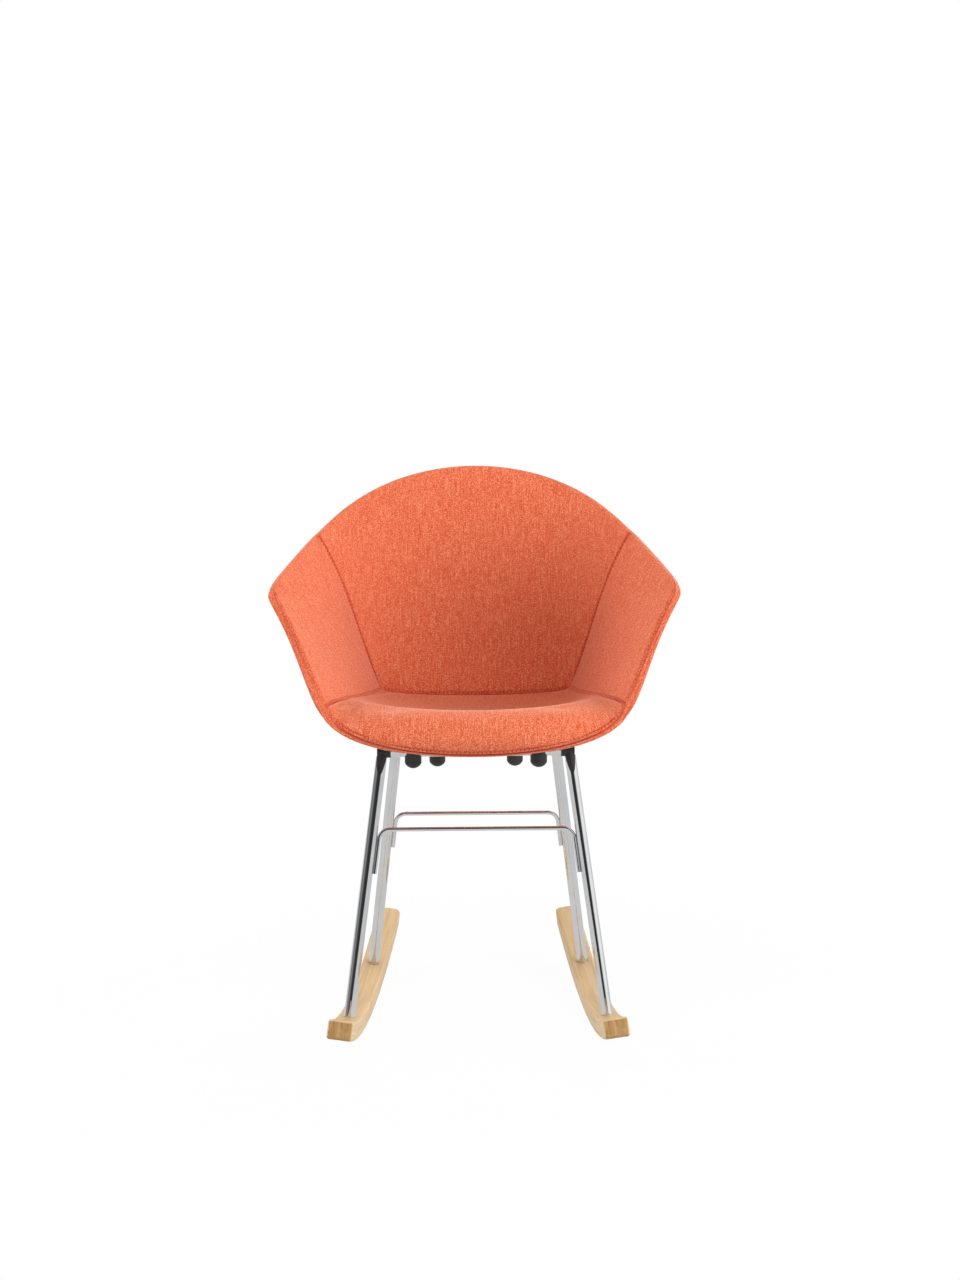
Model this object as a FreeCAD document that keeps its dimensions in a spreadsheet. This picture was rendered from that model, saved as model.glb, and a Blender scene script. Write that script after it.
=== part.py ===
"""An upholstered armchair shell on four chromed legs and two bent wooden rockers.

Millimetres. The origin is on the floor under the middle of the rockers, +Z is up,
the sitter faces -Y and +X is on the right-hand side of somebody who looks at the chair.
"""
import FreeCAD
import Part
import Sketcher

import math
import os

from FreeCAD import Placement, Rotation, Vector

document = FreeCAD.newDocument("rocking_armchair")
sheet = document.addObject("Spreadsheet::Sheet", "Sizes")

# Driving dimensions in millimetres and degrees
SIZES = {
    # rockers
    "rocker_radius": 1130,
    "rocker_length": 672,
    "rocker_depth": 28,
    "rocker_width": 36,
    "rocker_round": 4,
    "rocker_end_round": 9,
    "rocker_roll": 7,
    "rocker_yaw": 4.5,
    "rocker_offset": 175,
    # legs and the bars under the seat
    "tube_diameter": 16,
    "tube_wall": 2,
    "front_foot_angle": 10.4,
    "rear_foot_angle": 7.3,
    "bar_height": 424,
    "rear_bar_drop": 43,
    "front_bar_forward": 140,
    "front_bar_leg_offset": 134,
    "rear_bar_back": 80,
    "rear_bar_leg_offset": 120,
    "bar_overhang": 6,
    "bar_plug_depth": 12,
    "bar_plug_flange": 1.5,
    "leg_socket_depth": 12,
    "socket_clearance": 0.2,
    # thin rods that brace each pair of legs
    "rod_diameter": 6,
    "rod_bend": 16,
    "rod_weld_sink": 0.3,
    "front_rod_drop": 64,
    "rear_rod_drop": 54,
    "front_rod_height": 313.2,
    "rear_rod_height": 280.2,
    # clips on the bar's ends, with a tongue down each front leg
    "leg_pad_wall": 0.9,
    "leg_pad_length": 26,
    "leg_pad_rise": 130,
    "leg_pad_reach": 12,
    "leg_pad_gap": 0.3,
    "leg_pad_turn": 0,
    # screws that hold the legs in the rockers
    "screw_diameter": 6,
    "screw_clearance": 0.3,
    "screw_head_diameter": 12,
    "screw_head_height": 4,
    "rocker_web": 6,
    "foot_insert_length": 22,
    "screw_thread_length": 16,
    "plug_height": 4.5,
    # bolts that hold the seat shell on the bars
    "boss_diameter": 24,
    "front_boss_offset": 90,
    "rear_boss_offset": 58,
    "clamp_web": 3.5,
    "clamp_gap": 0.4,
    "cap_spigot": 1.5,
    "cap_height": 7.8,
    "boss_insert_diameter": 9,
    "boss_insert_length": 12,
    "boss_insert_lift": 4,
    # layers of the seat, counted from the fabric that faces the sitter
    "cover_thickness": 2,
    "foam_thickness": 11,
    "seat_foam_extra": 12,
    "shell_wall": 5,
    "layer_gap": 0.3,
    "front_lip": 6,
    "top_lip": 1.5,
    "rim_thinning": 0.6,
    "arm_tip_reach": 24,
    "crown_dish": 44,
}

# Corners and guide points of the face that the sitter touches, right-hand side, as x, y
# and the height above the front bar's axis
SHAPE_POINTS = {
    "front_corner": (212, -196, 75),
    "arm_tip": (289, -88, 224),
    "seam_top": (232, 101, 282),
    "seat_corner": (141, 125, 43),
    "front_edge_low": (237, -172, 114),
    "front_edge_high": (248, -128, 174),
    "arm_rim_front": (279, -38, 241),
    "arm_rim_rear": (255, 38, 266),
    "arm_seam_front": (194, -110, 75),
    "arm_seam_rear": (158, 20, 46),
    "back_seam_low": (171, 133, 106),
    "back_seam_high": (189, 118, 216),
    "back_rim_side": (202, 164, 299),
    "back_rim_top": (139, 248, 388),
    "back_rim_middle": (0, 248, 388),
    "seat_lip": (0, -232, 0),
    "seat_nose": (0, -260, 48),
    "seat_crown": (0, -270, 130),
    "seat_dip": (0, -162, 20),
    "seat_rear": (0, 0, 12),
    "seat_end": (0, 153, 26),
}

# Seven columns of guide points run across the seat: how far out each one is,
# and how much of the middle profile it follows
SEAT_COLUMNS = (-1.0, -0.92, -0.5, 0.0, 0.5, 0.92, 1.0)
SEAT_SHARES = (0.0, 0.78, 1.0, 1.0, 1.0, 0.78, 0.0)


def fill_sheet():
    """Write every driving dimension into the sheet under its own name."""
    entries = dict(SIZES)
    for name, coordinates in SHAPE_POINTS.items():
        for axis, value in zip("xyz", coordinates):
            entries[name + "_" + axis] = value
    for row, (name, value) in enumerate(entries.items(), start=1):
        sheet.set("A%d" % row, name)
        sheet.set("B%d" % row, str(value))
        sheet.setAlias("B%d" % row, name)
    document.recompute()


def size(name):
    return float(getattr(sheet, name))


def shape_point(name):
    """A guide point of the seat, which stands on the bars and goes up and down with them."""
    point = Vector(*(size(name + "_" + axis) for axis in "xyz"))
    return point + Vector(0, 0, size("bar_height"))


def shape_points(*names):
    return [shape_point(name) for name in names]


def mirrored(point):
    return Vector(-point.x, point.y, point.z)


fill_sheet()

nodes = []


def keep(item, label):
    """Give a finished piece its own name and list it for writing."""
    item.Label = label
    nodes.append(item)
    return item


def keep_shape(shape, label):
    feature = document.addObject("Part::Feature", label)
    feature.Shape = shape
    return keep(feature, label)


def cylinder_along(start, end, radius):
    """A solid cylinder between two points."""
    run = end - start
    return Part.makeCylinder(radius, run.Length, start, run)


# The sign of x on each side, and the word for that side
SIDES = {-1: "left", 1: "right"}


def side_label(pair, side, piece):
    return "%s_%s_%s" % (pair.name, SIDES[side], piece)


# Rockers

def rocker_point(across, angle, depth):
    """A point of the rocker in its own frame: its lower face has depth 0."""
    radius = size("rocker_radius")
    reach = radius - depth
    turn = math.radians(angle)
    return Vector(across, reach * math.sin(turn), radius - reach * math.cos(turn))


def rocker_reach():
    """The angle from the middle of the rocker to its end."""
    return math.degrees(math.asin(size("rocker_length") / 2 / size("rocker_radius")))


def rocker_placement(side):
    """Lean the rocker inward at its top, turn its rear end inward and stand it on the floor,
    with its two ends equally far from the origin."""
    roll = math.radians(size("rocker_roll"))
    edge = size("rocker_round")
    lift = (size("rocker_width") / 2 - edge) * math.sin(roll) + edge * (1 - math.cos(roll))
    lean = Rotation(Vector(0, 1, 0), -side * size("rocker_roll"))
    turned = Rotation(Vector(0, 0, 1), side * size("rocker_yaw")).multiply(lean)
    corners = [
        turned.multVec(rocker_point(across * size("rocker_width") / 2, angle * rocker_reach(), depth)).y
        for across in (-1, 1) for angle in (-1, 1) for depth in (0, size("rocker_depth"))
    ]
    middle = (min(corners) + max(corners)) / 2
    return Placement(Vector(side * size("rocker_offset"), -middle, lift), turned)


def rocker_top_point(side, angle):
    """The middle of the rocker's upper face, at an angle along its arc."""
    return rocker_placement(side).multVec(rocker_point(0, angle, size("rocker_depth")))


def edge_names(shape, wanted):
    return ["Edge%d" % number for number, edge in enumerate(shape.Edges, start=1) if wanted(edge)]


def on_rear_end(edge):
    """Whether an edge of the blank runs through its depth at the rear end."""
    straight = isinstance(edge.Curve, Part.Line)
    return straight and edge.BoundBox.XLength < 0.01 and edge.CenterOfMass.y > 0


def rocker_blank(label):
    """The bent bar, drawn as two arcs about one centre and padded to its width; the corners of
    its rear end are rounder than its other edges."""
    body = document.addObject("PartDesign::Body", label + "_blank")
    plane = [f for f in body.Origin.OriginFeatures if f.Role == "YZ_Plane"][0]
    sketch = body.newObject("Sketcher::SketchObject", label + "_profile")
    sketch.AttachmentSupport = (plane, "")
    sketch.MapMode = "FlatFace"
    radius = size("rocker_radius")
    inner = radius - size("rocker_depth")
    reach = math.radians(rocker_reach())
    centre = Vector(0, radius, 0)
    axis = Vector(0, 0, 1)
    first, last = 1.5 * math.pi - reach, 1.5 * math.pi + reach

    def on_arc(distance, angle):
        return centre + Vector(math.cos(angle), math.sin(angle), 0) * distance

    lower = sketch.addGeometry(Part.ArcOfCircle(Part.Circle(centre, axis, radius), first, last))
    upper = sketch.addGeometry(Part.ArcOfCircle(Part.Circle(centre, axis, inner), first, last))
    front = sketch.addGeometry(Part.LineSegment(on_arc(radius, first), on_arc(inner, first)))
    rear = sketch.addGeometry(Part.LineSegment(on_arc(radius, last), on_arc(inner, last)))
    sketch.addConstraint([
        Sketcher.Constraint("Coincident", lower, 1, front, 1),
        Sketcher.Constraint("Coincident", upper, 1, front, 2),
        Sketcher.Constraint("Coincident", lower, 2, rear, 1),
        Sketcher.Constraint("Coincident", upper, 2, rear, 2),
        Sketcher.Constraint("Coincident", lower, 3, upper, 3),
        Sketcher.Constraint("PointOnObject", lower, 3, -2),
        Sketcher.Constraint("PointOnObject", lower, 3, front),
        Sketcher.Constraint("PointOnObject", lower, 3, rear),
        Sketcher.Constraint("Symmetric", lower, 1, lower, 2, -2),
    ])
    length = size("rocker_length")
    for constraint, expression in (
        (Sketcher.Constraint("Radius", lower, radius), "Sizes.rocker_radius"),
        (Sketcher.Constraint("Radius", upper, inner), "Sizes.rocker_radius - Sizes.rocker_depth"),
        (Sketcher.Constraint("DistanceX", lower, 1, lower, 2, length), "Sizes.rocker_length"),
        (Sketcher.Constraint("DistanceY", -1, 1, lower, 3, radius), "Sizes.rocker_radius"),
    ):
        index = sketch.addConstraint(constraint)
        sketch.setExpression("Constraints[%d]" % index, expression)
    pad = body.newObject("PartDesign::Pad", label + "_pad")
    pad.Profile = sketch
    pad.SideType = "Symmetric"
    pad.setExpression("Length", "Sizes.rocker_width")
    document.recompute()
    rear_end = body.newObject("PartDesign::Fillet", label + "_rear_end")
    rear_end.Base = (pad, edge_names(pad.Shape, on_rear_end))
    rear_end.setExpression("Radius", "Sizes.rocker_end_round")
    document.recompute()
    rounding = body.newObject("PartDesign::Fillet", label + "_rounding")
    rounding.Base = (rear_end, edge_names(rear_end.Shape, lambda edge: not on_rear_end(edge)))
    rounding.setExpression("Radius", "Sizes.rocker_round")
    body.Tip = rounding
    document.recompute()
    return body


def stood_blank(side, label):
    body = rocker_blank(label)
    body.Placement = rocker_placement(side)
    return body


# Legs

class LegPair:
    """The values that differ between the front and the rear pair of legs."""

    def __init__(self, name, foot_angle, bar_y, bar_z):
        self.name = name
        self.foot_angle = foot_angle
        self.bar_y = bar_y
        self.bar_z = bar_z
        self.leg_x = size(name + "_bar_leg_offset")
        self.boss_x = size(name + "_boss_offset")
        self.rod_z = size(name + "_rod_height")
        self.rod_drop = size(name + "_rod_drop")

    def foot(self, side):
        """The point where the leg's axis leaves the rocker's upper face."""
        return rocker_top_point(side, self.foot_angle)

    def top(self, side):
        """The point where the leg's axis meets the bar's axis."""
        return Vector(side * self.leg_x, self.bar_y, self.bar_z)

    def axis(self, side):
        return (self.top(side) - self.foot(side)).normalize()

    def on_leg(self, side, distance):
        """A point on the leg's axis, counted upward from the foot."""
        return self.foot(side) + self.axis(side) * distance

    def inward(self, side):
        """The direction from the leg toward the other leg, square to the leg's axis."""
        axis = self.axis(side)
        across = Vector(-side, 0, 0)
        return (across - axis * across.dot(axis)).normalize()


front_bar_z = size("bar_height")
rear_bar_z = front_bar_z - size("rear_bar_drop")
FRONT_LEGS = LegPair("front", -size("front_foot_angle"), -size("front_bar_forward"), front_bar_z)
REAR_LEGS = LegPair("rear", size("rear_foot_angle"), size("rear_bar_back"), rear_bar_z)
LEG_PAIRS = (FRONT_LEGS, REAR_LEGS)

tube_radius = size("tube_diameter") / 2
screw_hole_radius = size("screw_diameter") / 2 + size("screw_clearance")
head_hole_radius = size("screw_head_diameter") / 2 + size("screw_clearance")
socket_floor = -size("leg_socket_depth")
head_seat = socket_floor - size("rocker_web")


def along(start, direction):
    """A placement that turns a piece's own Z axis to a direction."""
    return Placement(start, Rotation(Vector(0, 0, 1), direction))


def cylinder(name, radius, height, placement):
    """A cylinder whose radius, and height if that is text, follow the sheet."""
    item = document.addObject("Part::Cylinder", name)
    item.setExpression("Radius", radius)
    if isinstance(height, str):
        item.setExpression("Height", height)
    else:
        item.Height = height
    item.Placement = placement
    return item


def cut(label, base, *tools):
    """The base without its tools."""
    for number, tool in enumerate(tools):
        step = document.addObject("Part::Cut", "%s_cut_%d" % (label, number))
        step.Base = base
        step.Tool = tool
        base = step
    return base


def fuse(label, first, second):
    joined = document.addObject("Part::Fuse", label + "_fuse")
    joined.Base = first
    joined.Tool = second
    return joined


TUBE_RADIUS = "Sizes.tube_diameter / 2"
BORE_RADIUS = "Sizes.tube_diameter / 2 - Sizes.tube_wall"
SCREW_RADIUS = "Sizes.screw_diameter / 2"
SCREW_HOLE_RADIUS = "Sizes.screw_diameter / 2 + Sizes.screw_clearance"
HEAD_RADIUS = "Sizes.screw_head_diameter / 2"
HEAD_HOLE_RADIUS = "Sizes.screw_head_diameter / 2 + Sizes.screw_clearance"
BOSS_RADIUS = "Sizes.boss_diameter / 2"


def past_bar(pair):
    """Half the length of a cylinder that is longer than the bar and its plugs."""
    return pair.leg_x + size("bar_overhang") + size("tube_diameter")


def bar_cylinder(name, pair, radius):
    """A cylinder on the bar's axis, longer than the bar on both sides."""
    reach = past_bar(pair)
    return cylinder(name, radius, 2 * reach, along(Vector(-reach, pair.bar_y, pair.bar_z), Vector(1, 0, 0)))


def bar_solid(pair, radius):
    """The same cylinder as a plain shape."""
    reach = Vector(past_bar(pair), 0, 0)
    middle = Vector(0, pair.bar_y, pair.bar_z)
    return cylinder_along(middle - reach, middle + reach, radius)


def make_leg(pair, side):
    """A straight tube, let into the rocker below and cut to fit round the bar above."""
    label = side_label(pair, side, "leg")
    start = pair.on_leg(side, socket_floor)
    length = (pair.top(side) - start).Length
    place = along(start, pair.axis(side))
    outside = cylinder(label + "_outside", TUBE_RADIUS, length, place)
    bore = cylinder(label + "_bore", BORE_RADIUS, length, place)
    bar = bar_cylinder(label + "_bar", pair, TUBE_RADIUS)
    keep(cut(label, outside, bore, bar), label)


def make_bar(pair):
    """The cross tube that a pair of legs is welded to, drilled for the two shell bolts."""
    label = pair.name + "_cross_bar"
    half = pair.leg_x + size("bar_overhang")
    run = along(Vector(-half, pair.bar_y, pair.bar_z), Vector(1, 0, 0))
    outside = cylinder(label + "_outside", TUBE_RADIUS, 2 * half, run)
    bore = cylinder(label + "_bore", BORE_RADIUS, 2 * half, run)
    holes = []
    for side, word in SIDES.items():
        low = Vector(side * pair.boss_x, pair.bar_y, pair.bar_z - size("tube_diameter"))
        place = along(low, Vector(0, 0, 1))
        holes.append(cylinder(label + "_hole_" + word, SCREW_HOLE_RADIUS, "2 * Sizes.tube_diameter", place))
    keep(cut(label, outside, bore, *holes), label)


def make_bar_plug(pair, side):
    """A plastic plug with a flange in the open end of a bar."""
    label = side_label(pair, side, "bar_plug")
    end = Vector(side * (pair.leg_x + size("bar_overhang")), pair.bar_y, pair.bar_z)
    outward = Vector(side, 0, 0)
    flange = cylinder(label + "_flange", TUBE_RADIUS, "Sizes.bar_plug_flange", along(end, outward))
    spigot = cylinder(label + "_spigot", BORE_RADIUS, "Sizes.bar_plug_depth", along(end, outward * -1))
    keep(fuse(label, flange, spigot), label)


def make_rod(pair):
    """A thin rod bent to a wide U, whose ends are welded to the inner sides of two legs."""
    label = pair.name + "_brace_rod"
    rod_radius = size("rod_diameter") / 2
    reach = tube_radius + rod_radius - size("rod_weld_sink")
    corners = []
    ends = []
    for side in SIDES:
        axis = pair.axis(side)
        beside = pair.foot(side) + pair.inward(side) * reach
        corner = beside + axis * ((pair.rod_z - beside.z) / axis.z)
        corners.append(corner)
        ends.append(corner - axis * pair.rod_drop)
    bend_points = []
    for corner, end, other in ((corners[0], ends[0], corners[1]), (corners[1], ends[1], corners[0])):
        down = (end - corner).normalize()
        over = (other - corner).normalize()
        half = down.getAngle(over) / 2
        toward = (down + over).normalize()
        run = size("rod_bend") / math.tan(half)
        middle = corner + toward * (size("rod_bend") / math.sin(half) - size("rod_bend"))
        bend_points.append((corner + down * run, middle, corner + over * run))
    first, second = bend_points
    path = Part.Wire([
        Part.makeLine(ends[0], first[0]),
        Part.Arc(*first).toShape(),
        Part.makeLine(first[2], second[2]),
        Part.Arc(*second[::-1]).toShape(),
        Part.makeLine(second[0], ends[1]),
    ])
    section = Part.Wire(Part.makeCircle(rod_radius, ends[0], first[0] - ends[0]))
    rod = path.makePipeShell([section], True, False)
    for side in SIDES:
        rod = rod.cut(cylinder_along(pair.foot(side), pair.top(side), tube_radius))
    keep_shape(rod, label)


def make_leg_pad(pair, side):
    """A plastic clip: a ring on the end of the bar and a tongue that narrows down the leg."""
    axis = pair.axis(side)
    top = pair.top(side)
    around_bar = tube_radius + size("leg_pad_gap")
    start = top - axis * (around_bar + size("leg_pad_length"))
    outer = tube_radius + size("leg_pad_wall")
    sleeve = cylinder_along(start, top, outer)
    inward = pair.inward(side)
    forward = axis.cross(inward) * side
    turn = math.radians(size("leg_pad_turn"))
    tongue = forward * math.cos(turn) - inward * math.sin(turn)
    beside = axis.cross(tongue)
    tip = start + tongue * outer - beside * (2 * outer)
    far = tip - tongue * (3 * outer)
    corners = [tip, far + axis * (1.5 * size("leg_pad_rise")), far, tip]
    blade = Part.Face(Part.makePolygon(corners)).extrude(beside * (4 * outer))
    across = Vector(side, 0, 0)
    ring_start = top - across * size("leg_pad_reach")
    ring_end = top + across * (size("bar_overhang") + size("bar_plug_flange"))
    ring = cylinder_along(ring_start, ring_end, around_bar + size("leg_pad_wall"))
    clip = sleeve.cut(blade).fuse(ring)
    clip = clip.cut(bar_solid(pair, around_bar))
    keep_shape(clip.cut(cylinder_along(start, top, tube_radius)), side_label(pair, side, "leg_pad"))


def make_rocker(side, label):
    """The bent bar with a socket, a screw hole and a head recess for each leg."""
    blank = stood_blank(side, label)
    tools = []
    for pair in LEG_PAIRS:
        name = "%s_%s" % (label, pair.name)
        axis = pair.axis(side)
        socket = cylinder(
            name + "_socket", TUBE_RADIUS + " + Sizes.socket_clearance",
            "Sizes.leg_socket_depth + Sizes.rocker_depth", along(pair.on_leg(side, socket_floor), axis)
        )
        hole = cylinder(
            name + "_hole", SCREW_HOLE_RADIUS,
            "2 * Sizes.rocker_web", along(pair.on_leg(side, head_seat - size("rocker_web") / 2), axis)
        )
        recess = cylinder(
            name + "_recess", HEAD_HOLE_RADIUS,
            "2 * Sizes.rocker_depth", along(pair.on_leg(side, head_seat), axis * -1)
        )
        tools += [socket, hole, recess]
    keep(cut(label, blank, *tools), label)


def make_foot_fixings(pair, side):
    """The threaded insert in the leg's end, its screw and the wooden plug that hides the head."""
    axis = pair.axis(side)

    label = side_label(pair, side, "foot_insert")
    place = along(pair.on_leg(side, socket_floor), axis)
    body = cylinder(label + "_body", BORE_RADIUS, "Sizes.foot_insert_length", place)
    thread = cylinder(label + "_thread", SCREW_RADIUS, "Sizes.foot_insert_length", place)
    keep(cut(label, body, thread), label)

    label = side_label(pair, side, "foot_screw")
    seat = pair.on_leg(side, head_seat)
    head = cylinder(label + "_head", HEAD_RADIUS, "Sizes.screw_head_height", along(seat, axis * -1))
    shank = cylinder(
        label + "_shank", SCREW_RADIUS, "Sizes.rocker_web + Sizes.screw_thread_length", along(seat, axis)
    )
    keep(fuse(label, head, shank), label)

    label = side_label(pair, side, "foot_plug")
    below_head = pair.on_leg(side, head_seat - size("screw_head_height"))
    keep(cylinder(label, HEAD_HOLE_RADIUS, "Sizes.plug_height", along(below_head, axis * -1)), label)


# Clamps that hold the shell on the bars

CLAMP_DROP = "(Sizes.tube_diameter / 2 + Sizes.clamp_web + Sizes.screw_head_height + Sizes.cap_spigot)"
clamp_web_top = -tube_radius
bolt_head_seat = clamp_web_top - size("clamp_web")
clamp_floor = bolt_head_seat - size("screw_head_height") - size("cap_spigot")
insert_floor = tube_radius + size("boss_insert_lift")
bolt_length = insert_floor + size("boss_insert_length") - bolt_head_seat


def make_clamp(pair, side):
    """The lower half of a boss, its domed cap, its bolt and the threaded insert in the shell."""
    up = Vector(0, 0, 1)
    down = Vector(0, 0, -1)

    def at(height):
        return Vector(side * pair.boss_x, pair.bar_y, pair.bar_z + height)

    label = side_label(pair, side, "clamp")
    split = at(-size("clamp_gap") / 2)
    depth = CLAMP_DROP + " - Sizes.clamp_gap / 2"
    block = cylinder(label + "_block", BOSS_RADIUS, depth, along(split, down))
    bar = bar_cylinder(label + "_bar", pair, TUBE_RADIUS)
    hole = cylinder(label + "_hole", SCREW_HOLE_RADIUS, CLAMP_DROP, along(at(0), down))
    below_web = along(at(bolt_head_seat), down)
    recess = cylinder(label + "_recess", HEAD_HOLE_RADIUS, CLAMP_DROP, below_web)
    keep(cut(label, block, bar, hole, recess), label)

    label = side_label(pair, side, "clamp_cap")
    rim = at(clamp_floor)
    radius = size("boss_diameter") / 2
    rise = size("cap_height")
    ball = (radius ** 2 + rise ** 2) / (2 * rise)
    dome = Part.makeSphere(ball, rim + up * (ball - rise))
    dome = dome.common(cylinder_along(rim, rim + down * rise, radius))
    spigot_top = at(bolt_head_seat - size("screw_head_height"))
    spigot = cylinder_along(rim, spigot_top, head_hole_radius)
    keep_shape(dome.fuse(spigot).removeSplitter(), label)

    label = side_label(pair, side, "shell_bolt")
    head = cylinder(label + "_head", HEAD_RADIUS, "Sizes.screw_head_height", along(at(bolt_head_seat), down))
    shank = cylinder(label + "_shank", SCREW_RADIUS, bolt_length, along(at(bolt_head_seat), up))
    keep(fuse(label, head, shank), label)

    label = side_label(pair, side, "shell_insert")
    place = along(at(insert_floor), up)
    body = cylinder(label + "_body", "Sizes.boss_insert_diameter / 2", "Sizes.boss_insert_length", place)
    thread = cylinder(label + "_thread", SCREW_RADIUS, "Sizes.boss_insert_length", place)
    keep(cut(label, body, thread), label)


# Guide nets of the four panels of the seat: rows of points that pull a smooth surface

SEAT_PROFILE = ("seat_lip", "seat_nose", "seat_crown", "seat_dip", "seat_rear", "seat_end")
SEAT_ROWS = len(SEAT_PROFILE)


def raised(points, count):
    """The same smooth curve, written with more guide points."""
    points = list(points)
    while len(points) < count:
        last = len(points)
        middle = [
            points[n - 1] * (n / last) + points[n] * (1 - n / last) for n in range(1, last)
        ]
        points = [points[0]] + middle + [points[-1]]
    return points


def filled(bottom, top, first, last):
    """A net inside four edges: bottom and top run from first to last, which run upward."""
    columns = len(bottom)
    rows = len(first)
    net = []
    for i in range(columns):
        across = i / (columns - 1)
        column = []
        for j in range(rows):
            up = j / (rows - 1)
            between_rows = bottom[i] * (1 - up) + top[i] * up
            between_columns = first[j] * (1 - across) + last[j] * across
            low = bottom[0] * (1 - across) + bottom[-1] * across
            high = top[0] * (1 - across) + top[-1] * across
            column.append(between_rows + between_columns - low * (1 - up) - high * up)
        net.append(column)
    return net


def arm_edges():
    """The four edges of the right arm panel, with a rounded tip where rim and front edge meet."""
    tip = shape_point("arm_tip")
    corner = shape_point("front_corner")
    before = (tip - shape_point("front_edge_high")).normalize()
    after = (shape_point("arm_rim_front") - tip).normalize()
    tangent = (before + after).normalize() * size("arm_tip_reach")
    front = [corner] + shape_points("front_edge_low", "front_edge_high") + [tip - tangent, tip]
    rim = [tip, tip + tangent] + shape_points("arm_rim_front", "arm_rim_rear", "seam_top")
    seam = [corner] + shape_points("arm_seam_front", "arm_seam_rear", "seat_corner")
    rear = shape_points("seat_corner", "back_seam_low", "back_seam_high", "seam_top")
    return {
        "seam": raised(seam, SEAT_ROWS), "rim": raised(rim, SEAT_ROWS),
        "front": front, "rear": raised(rear, len(front)),
    }


def seat_net(side_seam):
    """Columns of points from the front lip to the back; the crown rises toward both sides."""
    net = []
    for reach, share in zip(SEAT_COLUMNS, SEAT_SHARES):
        column = []
        for edge, name in zip(side_seam, SEAT_PROFILE):
            middle = shape_point(name)
            if name == "seat_crown":
                middle.z += size("crown_dish") * reach ** 2
            point = edge + (middle - edge) * share
            column.append(Vector(edge.x * reach, point.y, point.z))
        net.append(column)
    return net


def panel_nets():
    edges = arm_edges()
    seat = seat_net(edges["seam"])
    right_arm = filled(edges["seam"], edges["rim"], edges["front"], edges["rear"])
    left_arm = [[mirrored(point) for point in column] for column in right_arm]
    rim_half = shape_points("seam_top", "back_rim_side", "back_rim_top")
    rim = [mirrored(p) for p in rim_half] + [shape_point("back_rim_middle")] + rim_half[::-1]
    bottom = [column[-1] for column in seat]
    left_seam = [mirrored(point) for point in edges["rear"]]
    back = filled(bottom, rim, left_seam, edges["rear"])
    return {"seat": seat, "left_arm": left_arm, "right_arm": right_arm, "back": back}


# Which way the stuffing lies, seen from the middle of each panel
BEHIND = {
    "seat": Vector(0, 0, -1),
    "left_arm": Vector(-1, 0, 0),
    "right_arm": Vector(1, 0, 0),
    "back": Vector(0, 1, 0),
}


# The edges of a net are its first and last columns and its low and high rows. Those on the rim
# go with the size that says how far the outer cover is turned over them.
ARM_RIM = {"first": "front_lip", "high": "top_lip"}
RIM_EDGES = {
    "seat": {"low": "front_lip"},
    "left_arm": ARM_RIM,
    "right_arm": ARM_RIM,
    "back": {"high": "top_lip"},
}
ALL_EDGES = ("low", "high", "first", "last")


def edge_of(net, edge):
    if edge == "first":
        return net[0]
    if edge == "last":
        return net[-1]
    return [column[0 if edge == "low" else -1] for column in net]


def net_normals(net, behind):
    """A unit normal at each guide point, toward the stuffing."""
    columns, rows = len(net), len(net[0])

    def step_along(i, j, di, dj):
        here = net[min(max(i + di, 0), columns - 1)][min(max(j + dj, 0), rows - 1)]
        there = net[min(max(i - di, 0), columns - 1)][min(max(j - dj, 0), rows - 1)]
        return here - there

    normals = []
    for i in range(columns):
        normals.append([step_along(i, j, 1, 0).cross(step_along(i, j, 0, 1)) for j in range(rows)])
    if normals[columns // 2][rows // 2].dot(behind) < 0:
        normals = [[normal * -1 for normal in column] for column in normals]
    return normals


def key_of(point):
    return (round(point.x, 3), round(point.y, 3), round(point.z, 3))


def stuffing_directions(nets):
    """At each guide point, the step that moves every panel there one millimetre deeper.

    Where panels meet they share one step, so that their layers meet in a mitre.
    The arm tips take the normal of the points beside them, because two edges run on
    smoothly through each tip.
    """
    normals = {}
    for name, net in nets.items():
        raw = net_normals(net, BEHIND[name])
        if "arm" in name:
            top = len(raw[0]) - 1
            raw[0][top] = raw[1][top].normalize() + raw[0][top - 1].normalize()
        normals[name] = [[normal.normalize() for normal in column] for column in raw]
    meeting = {}
    for name, net in nets.items():
        for column, column_normals in zip(net, normals[name]):
            for point, normal in zip(column, column_normals):
                meeting.setdefault(key_of(point), []).append(normal)
    steps = {}
    for key, found in meeting.items():
        total = Vector()
        for normal in found:
            total += normal
        total.normalize()
        slant = min(total.dot(normal) for normal in found)
        steps[key] = total / max(slant, 0.6)
    on_rim = {key_of(p) for name, net in nets.items() for e in RIM_EDGES[name] for p in edge_of(net, e)}
    for key in on_rim:
        steps[key] = steps[key] * size("rim_thinning")
    return {
        name: [[steps[key_of(point)] for point in column] for column in net] for name, net in nets.items()
    }


nets = panel_nets()
directions = stuffing_directions(nets)


# Each corner of a net: the two edges that meet there, its indices and those of its inner neighbour
CORNERS = (
    ("first", "low", 0, 0, 1, 1),
    ("first", "high", 0, -1, 1, -2),
    ("last", "low", -1, 0, -2, 1),
    ("last", "high", -1, -1, -2, -2),
)


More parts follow.
